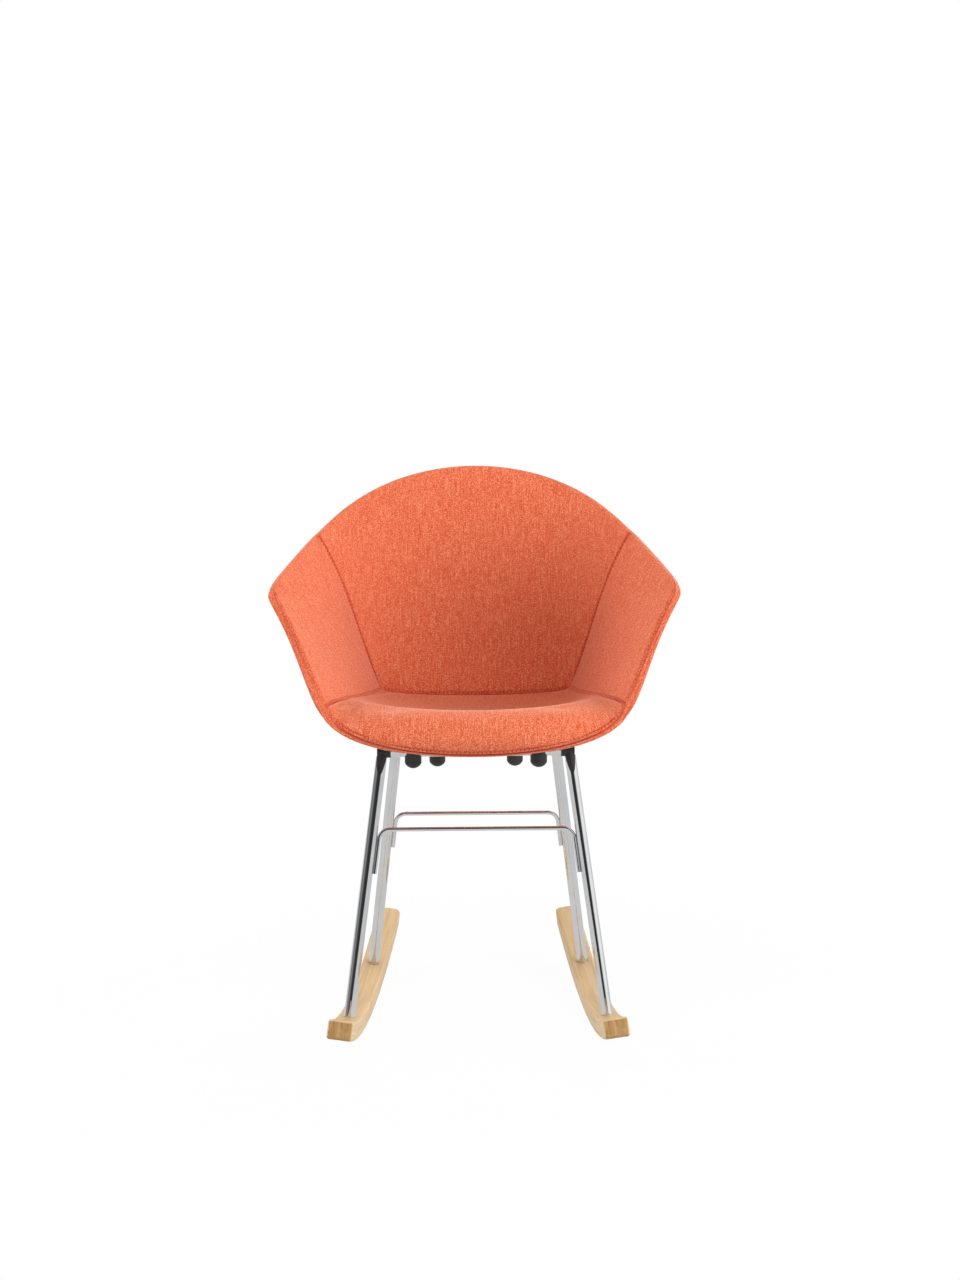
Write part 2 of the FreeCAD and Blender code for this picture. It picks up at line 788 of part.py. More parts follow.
def drawn_in(net, distances):
    """The same net with some of its edges moved inward, each by its own distance.

    A corner that two edges run smoothly through, as at an arm tip, moves straight inward.
    """
    result = [list(column) for column in net]
    for edge, distance in distances.items():
        if edge in ("first", "last"):
            here, beside = (0, 1) if edge == "first" else (-1, -2)
            for j in range(len(result[here])):
                run = result[beside][j] - result[here][j]
                result[here][j] = result[here][j] + run.normalize() * distance
        else:
            here, beside = (0, 1) if edge == "low" else (-1, -2)
            for column in result:
                run = column[beside] - column[here]
                column[here] = column[here] + run.normalize() * distance
    for upright, level, i, j, inner_i, inner_j in CORNERS:
        if upright in distances and level in distances:
            corner = net[i][j]
            over = (net[inner_i][j] - corner).normalize()
            along_edge = (net[i][inner_j] - corner).normalize()
            if over.dot(along_edge) < -0.5:
                inward = (net[inner_i][inner_j] - corner).normalize()
                result[i][j] = corner + inward * ((distances[upright] + distances[level]) / 2)
    return result


def deeper(name, net, depth, extra):
    """A net moved into the stuffing; the inside of the seat takes some extra foam as well."""
    result = []
    columns, rows = len(net), len(net[0])
    for i, (column, steps) in enumerate(zip(net, directions[name])):
        line = []
        for j, (point, step) in enumerate(zip(column, steps)):
            inside = name == "seat" and 0 < i < columns - 1 and 0 < j < rows - 1
            line.append(point + step * (depth + (extra if inside else 0)))
        result.append(line)
    return result


def net_face(net):
    """The smooth surface that a net pulls."""
    surface = Part.BSplineSurface()
    u_degree, v_degree = len(net) - 1, len(net[0]) - 1
    surface.buildFromPolesMultsKnots(
        net, [u_degree + 1] * 2, [v_degree + 1] * 2, [0, 1], [0, 1], False, False, u_degree, v_degree
    )
    return surface.toShape()


def strip_face(first, second):
    """The surface between two edges with the same number of guide points."""
    return net_face([[a, b] for a, b in zip(first, second)])


def closed_solid(faces):
    shell = Part.makeShell(faces)
    shell.sewShape()
    solid = Part.makeSolid(shell)
    if solid.Volume < 0:
        solid.reverse()
    return solid


# Depths of the layers below the fabric that faces the sitter
cover_back = size("cover_thickness")
foam_face = cover_back + size("layer_gap")
foam_back = foam_face + size("foam_thickness")
shell_face = foam_back + size("layer_gap")
shell_back = shell_face + size("shell_wall")
skin_face = shell_back + size("layer_gap")
skin_back = skin_face + size("cover_thickness")
seat_extra = size("seat_foam_extra")
half_gap = size("layer_gap") / 2
rim_inset = {
    name: drawn_in(net, {edge: size(lip) for edge, lip in RIM_EDGES[name].items()})
    for name, net in nets.items()
}


def panel_layer(name, face, back, extra):
    """One panel of one layer, with half a gap at its seams and a whole one along the rim."""
    gaps = dict.fromkeys(ALL_EDGES, half_gap)
    gaps.update(dict.fromkeys(RIM_EDGES[name], size("layer_gap")))
    edges = drawn_in(rim_inset[name], gaps)
    upper = deeper(name, edges, face, 0)
    lower = deeper(name, edges, back, extra)
    faces = [net_face(upper), net_face(lower)]
    faces += [strip_face(edge_of(upper, edge), edge_of(lower, edge)) for edge in ALL_EDGES]
    return closed_solid(faces)


def make_shell():
    """The moulded bucket with four bosses that stand on the bars."""
    faces = []
    for name in nets:
        edges = drawn_in(rim_inset[name], dict.fromkeys(RIM_EDGES[name], size("layer_gap")))
        upper = deeper(name, edges, shell_face, seat_extra)
        lower = deeper(name, edges, shell_back, seat_extra)
        faces += [net_face(upper), net_face(lower)]
        faces += [strip_face(edge_of(upper, e), edge_of(lower, e)) for e in RIM_EDGES[name]]
    bucket = closed_solid(faces)
    half_wall = (shell_face + shell_back) / 2
    roof = deeper("seat", nets["seat"], half_wall, seat_extra)
    sky = [[point + Vector(0, 0, size("bar_height")) for point in column] for column in roof]
    above = closed_solid(
        [net_face(roof), net_face(sky)] + [strip_face(edge_of(roof, e), edge_of(sky, e)) for e in ALL_EDGES]
    )
    bosses = []
    for pair in LEG_PAIRS:
        for side in SIDES:
            low = Vector(side * pair.boss_x, pair.bar_y, pair.bar_z + size("clamp_gap") / 2)
            high = Vector(low.x, low.y, shape_point("front_corner").z)
            insert_low = Vector(low.x, low.y, pair.bar_z + insert_floor)
            insert_high = insert_low + Vector(0, 0, size("boss_insert_length"))
            boss = cylinder_along(low, high, size("boss_diameter") / 2).cut(above)
            boss = boss.cut(bar_solid(pair, tube_radius))
            boss = boss.cut(cylinder_along(low, insert_low, screw_hole_radius))
            boss = boss.cut(cylinder_along(insert_low, insert_high, size("boss_insert_diameter") / 2))
            bosses.append(boss)
    keep_shape(bucket.fuse(bosses), "seat_shell")


def make_outer_cover():
    """The fabric behind the shell, turned round the whole rim to meet the inner panels."""
    faces = []
    for name, net in nets.items():
        outside = deeper(name, net, skin_back, seat_extra)
        inside = deeper(name, rim_inset[name], skin_face, seat_extra)
        faces += [net_face(outside), net_face(inside)]
        for edge in RIM_EDGES[name]:
            rim = edge_of(net, edge)
            turn = edge_of(rim_inset[name], edge)
            faces.append(strip_face(edge_of(outside, edge), rim))
            faces.append(strip_face(rim, turn))
            faces.append(strip_face(turn, edge_of(inside, edge)))
    skin = closed_solid(faces)
    for pair in LEG_PAIRS:
        for side in SIDES:
            low = Vector(side * pair.boss_x, pair.bar_y, pair.bar_z)
            high = Vector(low.x, low.y, shape_point("front_corner").z)
            skin = skin.cut(cylinder_along(low, high, size("boss_diameter") / 2 + size("layer_gap")))
    keep_shape(skin, "outer_cover")


# Build every piece

for side, word in SIDES.items():
    make_rocker(side, word + "_rocker")
    make_leg_pad(FRONT_LEGS, side)
for pair in LEG_PAIRS:
    make_bar(pair)
    make_rod(pair)
    for side in SIDES:
        make_leg(pair, side)
        make_bar_plug(pair, side)
        make_foot_fixings(pair, side)
        make_clamp(pair, side)
for panel in nets:
    keep_shape(panel_layer(panel, 0, cover_back, 0), panel + "_cover")
    keep_shape(panel_layer(panel, foam_face, foam_back, seat_extra), panel + "_foam")
make_shell()
make_outer_cover()

document.recompute()


def check_and_write():
    """Stop at the first piece that failed, then write one file for each piece."""
    for item in document.Objects:
        if "Invalid" in item.State or "Error" in item.State:
            raise RuntimeError("%s did not build: %s" % (item.Label, item.State))
    for node in nodes:
        shape = node.Shape
        if shape.isNull() or not shape.isValid() or len(shape.Solids) != 1:
            raise RuntimeError("%s is not one valid solid (%d)" % (node.Label, len(shape.Solids)))
    os.makedirs("parts", exist_ok=True)
    for node in nodes:
        node.Shape.exportStep("parts/%s.step" % node.Label)
    print("%d pieces written" % len(nodes))


check_and_write()
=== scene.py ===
import math

import bmesh
import bpy
import numpy as np
from mathutils import Euler, Matrix, Vector


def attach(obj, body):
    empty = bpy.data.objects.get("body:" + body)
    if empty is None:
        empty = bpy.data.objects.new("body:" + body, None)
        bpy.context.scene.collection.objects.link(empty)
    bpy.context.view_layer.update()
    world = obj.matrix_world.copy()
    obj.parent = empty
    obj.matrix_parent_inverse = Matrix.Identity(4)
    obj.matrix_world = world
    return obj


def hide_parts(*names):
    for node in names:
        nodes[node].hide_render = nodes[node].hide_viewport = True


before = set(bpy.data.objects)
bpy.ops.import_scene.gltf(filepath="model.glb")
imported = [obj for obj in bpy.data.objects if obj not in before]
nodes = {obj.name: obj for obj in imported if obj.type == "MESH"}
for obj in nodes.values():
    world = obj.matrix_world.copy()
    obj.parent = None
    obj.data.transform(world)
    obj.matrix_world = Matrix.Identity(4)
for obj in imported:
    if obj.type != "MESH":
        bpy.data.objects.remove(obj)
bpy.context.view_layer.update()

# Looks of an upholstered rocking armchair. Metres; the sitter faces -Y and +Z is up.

MM = 0.001
BODY = "root"
SIDES = {"left": -1, "right": 1}

# Guide points of the face that the sitter touches, on the +X side, in millimetres: x, y
# and the height above the front bar's axis, as in the part's source
BAR_HEIGHT = 424
SHAPE_POINTS = {
    "front_corner": (212, -196, 75),
    "arm_tip": (289, -88, 224),
    "seam_top": (232, 101, 282),
    "seat_corner": (141, 125, 43),
    "front_edge_low": (237, -172, 114),
    "front_edge_high": (248, -128, 174),
    "arm_rim_front": (279, -38, 241),
    "arm_rim_rear": (255, 38, 266),
    "arm_seam_front": (194, -110, 75),
    "arm_seam_rear": (158, 20, 46),
    "back_seam_low": (171, 133, 106),
    "back_seam_high": (189, 118, 216),
    "back_rim_side": (202, 164, 299),
    "back_rim_top": (139, 248, 388),
    "back_rim_middle": (0, 248, 388),
    "seat_lip": (0, -232, 0),
    "seat_nose": (0, -260, 48),
    "seat_crown": (0, -270, 130),
    "seat_dip": (0, -162, 20),
    "seat_rear": (0, 0, 12),
    "seat_end": (0, 153, 26),
}
SEAT_PROFILE = ("seat_lip", "seat_nose", "seat_crown", "seat_dip", "seat_rear", "seat_end")
SEAT_COLUMNS = (-1.0, -0.92, -0.5, 0.0, 0.5, 0.92, 1.0)
SEAT_SHARES = (0.0, 0.78, 1.0, 1.0, 1.0, 0.78, 0.0)
CROWN_DISH = 44
ARM_TIP_REACH = 24
RIM_THINNING = 0.6
MITRE_LIMIT = 0.6
# The width of the turned rim that shows: in front, and along the top
FRONT_LIP = 6
TOP_LIP = 1.5
# The same up the front of an arm, where it is narrower between the ends
ARM_STRIP = (6, 2, 0.8, 2.5, 6)
HALF_GAP = 0.15
# Depths behind the sitter's face, and what the seat's foam adds in its middle
FOAM_BACK = 13.3
SKIN_BACK = 20.9
SEAT_EXTRA = 12

# Where the shell's bosses pass through the outer cover, as x and y, and the radius of the holes
BOSSES = [(side * across, along) for side in (-1, 1) for across, along in ((90, -140), (58, 80))]
BOSS_HOLE = 12.7
OUTER_THICKNESS = 0.8
# The share of a seam's depth that shows on the outside
OUTER_GROOVE = 0.7
MERGE_DISTANCE = 0.05

# Seams, in millimetres, and the lengths without stitches at their ends
GROOVE_DEPTH = 1.8
GROOVE_WIDTH = 1.4
STITCH_OFFSET = 3.9
RIM_STITCH_OFFSET = 6.2
SEAM_TRIM = 4.5
TIP_TRIM = 26
STITCH_DIP = 1.3
STITCH_DIP_WIDTH = 1.2
STITCH_PITCH = 6.0
STITCH_LENGTH = 3.9
THREAD_RADIUS = 0.55
HOLE_RADIUS = 0.9
HOLE_STRETCH = 1.9
# Shade painted into the fabric's colour along the seams and the rows of stitches, where the grooves lie in
# shadow
SHADE_WIDTH = 1.6
ROW_SHADE = 0.9
ROW_SHADE_WIDTH = 0.9
# How much of a seam shows in the dip, and where along the side of the seat it fades
DIP_STRENGTH = 0.3
DIP_FADE = (0.2, 0.4)
# The most that the padding lifts the fabric
PUFF_CAP = 3.0

# The padded edge, as the width and the depth of its rounding: the front rim, and the tighter top
FRONT_ROUND = (17, 7.5)
TOP_ROUND = (6, 4.5)
OUTSIDE_ROUND = 3.5
WELT = 1.1
EDGE_BULGE = 2.8
TOP_BULGE_SHARE = 0.3


# Guide nets of the four panels: arrays of points, columns by rows

def point(name):
    x, y, z = SHAPE_POINTS[name]
    return np.array((x, y, z + BAR_HEIGHT), float)


def points(*names):
    return [point(name) for name in names]


def unit(vectors):
    return vectors / np.maximum(np.linalg.norm(vectors, axis=-1, keepdims=True), 1e-9)


def mirrored(array):
    return np.asarray(array) * (-1, 1, 1)


def raised(curve, count):
    """The same smooth curve with more guide points."""
    curve = np.asarray(curve)
    while len(curve) < count:
        share = (np.arange(1, len(curve)) / len(curve))[:, None]
        curve = np.vstack([curve[:1], curve[:-1] * share + curve[1:] * (1 - share), curve[-1:]])
    return curve


def filled(bottom, top, first, last):
    """A net inside four edges."""
    across = np.linspace(0, 1, len(bottom))[:, None, None]
    up = np.linspace(0, 1, len(first))[None, :, None]
    between_rows = bottom[:, None] * (1 - up) + top[:, None] * up
    between_columns = first[None] * (1 - across) + last[None] * across
    low = bottom[0] * (1 - across) + bottom[-1] * across
    high = top[0] * (1 - across) + top[-1] * across
    return between_rows + between_columns - low * (1 - up) - high * up


def panel_nets():
    tip, corner = points("arm_tip", "front_corner")
    before = unit(tip - point("front_edge_high"))
    after = unit(point("arm_rim_front") - tip)
    tangent = unit(before + after) * ARM_TIP_REACH
    rows = len(SEAT_PROFILE)
    front = np.array([corner, *points("front_edge_low", "front_edge_high"), tip - tangent, tip])
    rim = raised([tip, tip + tangent, *points("arm_rim_front", "arm_rim_rear", "seam_top")], rows)
    seam = raised([corner, *points("arm_seam_front", "arm_seam_rear", "seat_corner")], rows)
    rear = raised(points("seat_corner", "back_seam_low", "back_seam_high", "seam_top"), len(front))
    profile = np.array(points(*SEAT_PROFILE))
    seat = []
    crown = SEAT_PROFILE.index("seat_crown")
    for reach, share in zip(SEAT_COLUMNS, SEAT_SHARES):
        middle = profile.copy()
        middle[crown, 2] += CROWN_DISH * reach ** 2
        column = seam + (middle - seam) * share
        column[:, 0] = seam[:, 0] * reach
        seat.append(column)
    seat = np.array(seat)
    right_arm = filled(seam, rim, front, rear)
    half = np.array(points("seam_top", "back_rim_side", "back_rim_top"))
    top = np.vstack([mirrored(half), [point("back_rim_middle")], half[::-1]])
    back = filled(seat[:, -1], top, mirrored(rear), rear)
    return {"seat": seat, "left_arm": mirrored(right_arm), "right_arm": right_arm, "back": back}


BEHIND = {"seat": (0, 0, -1), "left_arm": (-1, 0, 0), "right_arm": (1, 0, 0), "back": (0, 1, 0)}
ARM_LIPS = {"first": FRONT_LIP, "high": TOP_LIP}
RIM_LIPS = {
    "seat": {"low": FRONT_LIP},
    "left_arm": ARM_LIPS,
    "right_arm": ARM_LIPS,
    "back": {"high": TOP_LIP},
}
EDGES = ("low", "high", "first", "last")
# Which edges have a row of stitches, and how far it is from the seam
STITCH_ROWS = {
    "seat": {"low": RIM_STITCH_OFFSET},
    "arm": {"first": RIM_STITCH_OFFSET, "low": STITCH_OFFSET, "last": STITCH_OFFSET},
    "back": {"low": STITCH_OFFSET},
}


def edge_index(edge):
    """The index of an edge in an array of columns by rows."""
    return {"first": np.s_[0], "last": np.s_[-1], "low": np.s_[:, 0], "high": np.s_[:, -1]}[edge]


def beside_index(edge):
    return {"first": np.s_[1], "last": np.s_[-2], "low": np.s_[:, 1], "high": np.s_[:, -2]}[edge]


def net_normals(net, behind):
    def steps(axis):
        count = net.shape[axis]
        ahead = np.take(net, np.minimum(np.arange(count) + 1, count - 1), axis)
        back = np.take(net, np.maximum(np.arange(count) - 1, 0), axis)
        return ahead - back

    normals = np.cross(steps(0), steps(1))
    if normals[net.shape[0] // 2, net.shape[1] // 2] @ np.array(behind) < 0:
        normals = -normals
    return unit(normals)


def key_of(place):
    return tuple(np.round(place, 3) + 0.0)


def stuffing_directions(nets):
    """At each guide point, the step that moves the panels there one millimetre deeper."""
    meeting = {}
    for name, net in nets.items():
        normals = net_normals(net, BEHIND[name])
        if "arm" in name:
            normals[0, -1] = unit(normals[1, -1] + normals[0, -2])
        for place, normal in zip(net.reshape(-1, 3), normals.reshape(-1, 3)):
            meeting.setdefault(key_of(place), []).append(normal)
    steps = {}
    for key, found in meeting.items():
        total = unit(np.sum(found, axis=0))
        steps[key] = total / max(min(total @ normal for normal in found), MITRE_LIMIT)
    rims = {key_of(p) for name in nets for edge in RIM_LIPS[name] for p in nets[name][edge_index(edge)]}
    for key in rims:
        steps[key] = steps[key] * RIM_THINNING
    return {
        name: np.array([[steps[key_of(p)] for p in column] for column in net]) for name, net in nets.items()
    }


def drawn_in(net, distances):
    """The same net with some edges moved inward. Where two edges run on in one line, as at an arm's
    tip, the point between them moves straight inward."""
    moved = net.copy()
    for edge, distance in distances.items():
        here, beside = edge_index(edge), beside_index(edge)
        moved[here] = moved[here] + unit(moved[beside] - moved[here]) * distance
    tip = net[0, -1]
    run_on = unit(net[1, -1] - tip) @ unit(net[0, -2] - tip) < -0.5
    if run_on:
        at_tip = [np.ravel(distances[edge])[-1] for edge in ("first", "high")]
        moved[0, -1] = tip + unit(net[1, -2] - tip) * sum(at_tip) / 2
    return moved


nets = panel_nets()
directions = stuffing_directions(nets)


def deeper(name, net, depth, extra=0.0):
    moved = net + directions[name] * depth
    if name == "seat":
        moved[1:-1, 1:-1] += directions[name][1:-1, 1:-1] * extra
    return moved


def bernstein(count, ts):
    last = count - 1
    return np.stack([math.comb(last, i) * ts ** i * (1 - ts) ** (last - i) for i in range(count)], axis=-1)


def surface(net, us, vs):
    """Points of the smooth surface that a net pulls."""
    return np.einsum("ui,vj,ijk->uvk", bernstein(net.shape[0], us), bernstein(net.shape[1], vs), net)


# Fine samples near the seams, wide ones between them
NEAR_SEAM = (0, 0.5, 1.0, 1.5, 2.1, 2.8, 3.4, 3.9, 4.4, 5.0, 5.6, 6.2, 6.8, 7.4, 8.4, 10.0, 12.5)
SAMPLE_STEP = 6


def seam_samples(length):
    near = np.array(NEAR_SEAM) / length
    count = int((length - 2 * NEAR_SEAM[-1]) / SAMPLE_STEP)
    between = np.linspace(near[-1], 1 - near[-1], count + 1)[1:-1]
    return np.concatenate([near, between, 1 - near[::-1]])


ACROSS = seam_samples(length=350)
FRONT_TO_REAR = seam_samples(length=420)
UPWARD = seam_samples(length=330)
SAMPLES = {
    "seat": (ACROSS, FRONT_TO_REAR),
    "left_arm": (FRONT_TO_REAR, UPWARD),
    "right_arm": (FRONT_TO_REAR, UPWARD),
    "back": (ACROSS, UPWARD),
}


def runs_from(grid, edge):
    """How far each point of a grid is from an edge, along its own grid line."""
    axis = 0 if edge in ("first", "last") else 1
    steps = np.linalg.norm(np.diff(grid, axis=axis), axis=-1)
    shape = list(grid.shape[:2])
    shape[axis] = 1
    total = np.concatenate([np.zeros(shape), np.cumsum(steps, axis=axis)], axis=axis)
    if edge in ("last", "high"):
        total = np.take(total, [-1], axis) - total
    return total


def grid_normals(grid, behind):
    normals = np.cross(np.gradient(grid, axis=0), np.gradient(grid, axis=1))
    middle = normals[grid.shape[0] // 2, grid.shape[1] // 2]
    return unit(normals if middle @ np.array(behind) > 0 else -normals)


def ridge(away, width):
    return np.exp(-(away / width) ** 2)


def seam_sink(away, row):
    """How deep the fabric is drawn in at a distance from a seam, which may have a row of stitches."""
    sink = GROOVE_DEPTH * ridge(away, GROOVE_WIDTH)
    return sink if row is None else sink + STITCH_DIP * ridge(away - row, STITCH_DIP_WIDTH)


def painted_seam_shade(away, row):
    """How much shade is painted into the fabric's colour at a distance from a seam, which may have a row of
    stitches.
    """
    shade = ridge(away, SHADE_WIDTH)
    return shade if row is None else np.maximum(shade, ROW_SHADE * ridge(away - row, ROW_SHADE_WIDTH))


# Meshes

def new_object(name, verts, faces, material, uvs=None, shade=None):
    """A mesh object in metres from points in millimetres; uvs and shade, the shade painted along the seams,
    have a value for each vertex.
    """
    mesh = bpy.data.meshes.new(name)
    mesh.from_pydata([tuple(v) for v in np.asarray(verts) * MM], [], faces)
    mesh.update()
    if uvs is not None:
        layer = mesh.uv_layers.new(name="weave")
        loops = np.empty(len(mesh.loops), dtype=np.int32)
        mesh.loops.foreach_get("vertex_index", loops)
        layer.data.foreach_set("uv", (np.asarray(uvs) * MM)[loops].ravel().astype(np.float32))
    if shade is not None:
        layer = mesh.attributes.new("painted_seam_shade", "FLOAT", "POINT")
        layer.data.foreach_set("value", np.asarray(shade).ravel().astype(np.float32))
    mesh.materials.append(material)
    mesh.shade_smooth()
    item = bpy.data.objects.new(name, mesh)
    bpy.context.scene.collection.objects.link(item)
    return item


def grid_faces(columns, rows, start=0, flip=False):
    faces = []
    for i in range(columns - 1):
        for j in range(rows - 1):
            a = start + i * rows + j
            quad = (a, a + rows, a + rows + 1, a + 1)
            faces.append(quad[::-1] if flip else quad)
    return faces


def border_indices(columns, rows):
    """The indices round a grid's border, in order."""
    return (
        [i * rows for i in range(columns)]
        + [(columns - 1) * rows + j for j in range(1, rows)]
        + [i * rows + rows - 1 for i in range(columns - 2, -1, -1)]
        + list(range(rows - 2, 0, -1))
    )


def pad_faces(columns, rows, flip):
    """Faces of a closed pad: a front grid, a back grid and the sides between them."""
    count = columns * rows
    faces = grid_faces(columns, rows, 0, flip) + grid_faces(columns, rows, count, not flip)
    ring = border_indices(columns, rows)
    for a, b in zip(ring, ring[1:] + ring[:1]):
        side = (a, b, b + count, a + count)
        faces.append(side if flip else side[::-1])
    return faces


def faces_sitter(name, grid):
    """Whether a grid's own winding already turns its normals toward the sitter."""
    normals = np.cross(np.gradient(grid, axis=0), np.gradient(grid, axis=1))
    return normals[grid.shape[0] // 2, grid.shape[1] // 2] @ np.array(BEHIND[name]) < 0


def weave_uvs(grid):
    """Flat cloth coordinates in millimetres, counted from the middle line and the low edge."""
    across = runs_from(grid, "first")
    across = across - across[[grid.shape[0] // 2]]
    return np.stack([across, runs_from(grid, "low")], axis=-1)


def at_share(grid, lines, u, v):
    """Bilinear reading of a grid that has its lines at the same shares both ways."""
    i = np.clip(np.searchsorted(lines, u) - 1, 0, len(lines) - 2)
    j = np.clip(np.searchsorted(lines, v) - 1, 0, len(lines) - 2)
    a = ((u - lines[i]) / (lines[i + 1] - lines[i]))[..., None]
    b = ((v - lines[j]) / (lines[j + 1] - lines[j]))[..., None]
    return (
        grid[i, j] * (1 - a) * (1 - b) + grid[i + 1, j] * a * (1 - b)
        + grid[i, j + 1] * (1 - a) * b + grid[i + 1, j + 1] * a * b
    )


# The padding's crown: a closed pad under pressure, held at its border and its back
CLOTH_LINES = 45
CLOTH_FRAMES = 20
CLOTH_SETTINGS = {
    "quality": 6,
    "mass": 0.2,
    "tension_stiffness": 12,
    "compression_stiffness": 12,
    "shear_stiffness": 6,
    "bending_stiffness": 0.6,
    "vertex_group_mass": "held",
    "use_pressure": True,
    "uniform_pressure_force": 4,
}


def puffed(name, front_net, back_net):
    """Even shares, and how far a cloth simulation lifts a pad's fabric on a grid of them."""
    lines = np.linspace(0, 1, CLOTH_LINES)
    front = surface(front_net, lines, lines)
    back = surface(back_net, lines, lines)
    flip = not faces_sitter(name, front)
    count = CLOTH_LINES ** 2
    verts = np.concatenate([front.reshape(-1, 3), back.reshape(-1, 3)])
    item = new_object(name + "_cloth", verts, pad_faces(CLOTH_LINES, CLOTH_LINES, flip), fabric)
    held = item.vertex_groups.new(name="held")
    ring = border_indices(CLOTH_LINES, CLOTH_LINES)
    held.add(ring + list(range(count, len(verts))), 1.0, "REPLACE")
    cloth = item.modifiers.new("cloth", "CLOTH")
    for setting, value in CLOTH_SETTINGS.items():
        setattr(cloth.settings, setting, value)
    cloth.settings.effector_weights.gravity = 0
    cloth.collision_settings.use_collision = False
    cloth.point_cache.frame_start = 1
    cloth.point_cache.frame_end = CLOTH_FRAMES
    for number in range(1, CLOTH_FRAMES + 1):
        bpy.context.scene.frame_set(number)
    result = item.evaluated_get(bpy.context.evaluated_depsgraph_get()).to_mesh()
    moved = np.empty(len(result.vertices) * 3)
    result.vertices.foreach_get("co", moved)
    moved = moved.reshape(-1, 3)[:count].reshape(front.shape) / MM
    bpy.data.objects.remove(item)
    bpy.context.scene.frame_set(1)
    lift = moved - front
    length = np.linalg.norm(lift, axis=-1, keepdims=True)
    return lines, lift * np.minimum(1, PUFF_CAP / np.maximum(length, 1e-6))


# Shader helpers

class Shader:
    """A node tree, built one node at a time."""

    def __init__(self, owner):
        owner.use_nodes = True
        self.tree = owner.node_tree
        self.tree.nodes.clear()

    def node(self, kind, inputs=None, **settings):
        made = self.tree.nodes.new("ShaderNode" + kind)
        for name, value in settings.items():
            setattr(made, name, value)
        for name, value in (inputs or {}).items():
            if isinstance(value, bpy.types.NodeSocket):
                self.tree.links.new(value, made.inputs[name])
            else:
                made.inputs[name].default_value = value
        return made

    def math(self, operation, first, second=0.0):
        return self.node("Math", {0: first, 1: second}, operation=operation).outputs[0]

    def times(self, first, second):
        return self.math("MULTIPLY", first, second)

    def plus(self, first, second):
        return self.math("ADD", first, second)

    def join(self, x, y, z=0.0):
        return self.node("CombineXYZ", {0: x, 1: y, 2: z}).outputs[0]

    def split(self, vector):
        return self.node("SeparateXYZ", {0: vector}).outputs

    def noise(self, vector, scale, detail=2.0, roughness=0.5):
        inputs = {"Vector": vector, "Scale": scale, "Detail": detail, "Roughness": roughness}
        return self.node("TexNoise", inputs).outputs["Fac"]

    def ramp(self, share, stops):
        made = self.node("ValToRGB", {0: share})
        line = made.color_ramp.elements
        while len(line) < len(stops):
            line.new(1.0)
        for element, (place, colour) in zip(line, stops):
            element.position = place
            element.color = (*colour, 1.0)
        return made.outputs[0]

    def between(self, value, low, high):
        """Maps 0 to 1 onto low to high."""
        return self.node("MapRange", {"Value": value, "To Min": low, "To Max": high}).outputs[0]

    def mix(self, share, first, second):
        made = self.node("Mix", data_type="RGBA")
        # Sockets 6 and 7 take this node's colours, and socket 2 gives the mixed one
        for socket, value in ((made.inputs[0], share), (made.inputs[6], first), (made.inputs[7], second)):
            if isinstance(value, bpy.types.NodeSocket):
                self.tree.links.new(value, socket)
            elif socket.type == "RGBA":
                socket.default_value = (*value, 1.0)
            else:
                socket.default_value = value
        return made.outputs[2]

    def bump(self, height, strength, distance):
        inputs = {"Height": height, "Strength": strength, "Distance": distance}
        return self.node("Bump", inputs).outputs[0]

    def finish(self, **inputs):
        """The main shader; keys are its socket names with _ for spaces."""
        named = {name.replace("_", " "): value for name, value in inputs.items()}
        shader = self.node("BsdfPrincipled", named)
        output = self.node("OutputMaterial")
        self.tree.links.new(shader.outputs[0], output.inputs[0])


def new_material(name):
    material = bpy.data.materials.new(name)
    return material, Shader(material)


def grey(level):
    return (level, level, level)


# Materials

def wool_fabric(name, dark, base, light, seam):
    """A heathered woven fabric: fine flecks, long thin slubs along the warp, and shade painted into the
    colour along the seams.
    """
    material, s = new_material(name)
    cloth = s.node("UVMap", uv_map="weave").outputs[0]
    millimetres = s.node("VectorMath", {0: cloth, "Scale": 1000.0}, operation="SCALE").outputs[0]
    u, v, _ = s.split(millimetres)
    slub = s.noise(s.join(s.times(u, 0.8), s.times(v, 0.03)), 1.0, 1.0, 0.5)
    weft = s.noise(s.join(s.times(u, 0.13), s.times(v, 1.1), 7.0), 1.0, 2.0)
    fleck = s.noise(s.join(u, v, 3.0), 0.85, 1.0, 0.6)
    thread_pitch = 0.95
    across = s.math("SINE", s.times(u, math.pi / thread_pitch))
    along = s.math("SINE", s.times(v, math.pi / thread_pitch))
    weave = s.times(across, along)
    heather = s.plus(s.times(slub, 0.24), s.times(weft, 0.1))
    heather = s.plus(heather, s.times(fleck, 0.66))
    heather = s.plus(heather, s.times(weave, 0.03))
    colour = s.ramp(heather, [(0.38, dark), (0.50, base), (0.63, light)])
    # The seam colour goes in as painted shade along the seams and the rows of stitches
    shade = s.node("Attribute", attribute_name="painted_seam_shade").outputs["Fac"]
    colour = s.mix(s.times(shade, 0.85), colour, seam)
    height = s.plus(s.times(weave, 0.4), heather)
    s.finish(
        Base_Color=colour, Roughness=s.between(fleck, 0.82, 0.98), Sheen_Weight=0.3, Sheen_Roughness=0.45,
        Sheen_Tint=(1.0, 0.82, 0.66, 1.0), Specular_IOR_Level=0.2, Normal=s.bump(height, 0.12, 0.0006),
    )
    return material


def thread_material(name, colour):
    material, s = new_material(name)
    place = s.node("TexCoord").outputs["Object"]
    twist = s.noise(place, 2500.0, 2.0)
    tint = s.ramp(twist, [(0.35, tuple(c * 0.75 for c in colour)), (0.65, colour)])
    s.finish(
        Base_Color=tint, Roughness=s.between(twist, 0.6, 0.85), Specular_IOR_Level=0.1,
        Normal=s.bump(twist, 0.4, 0.0003),
    )
    return material


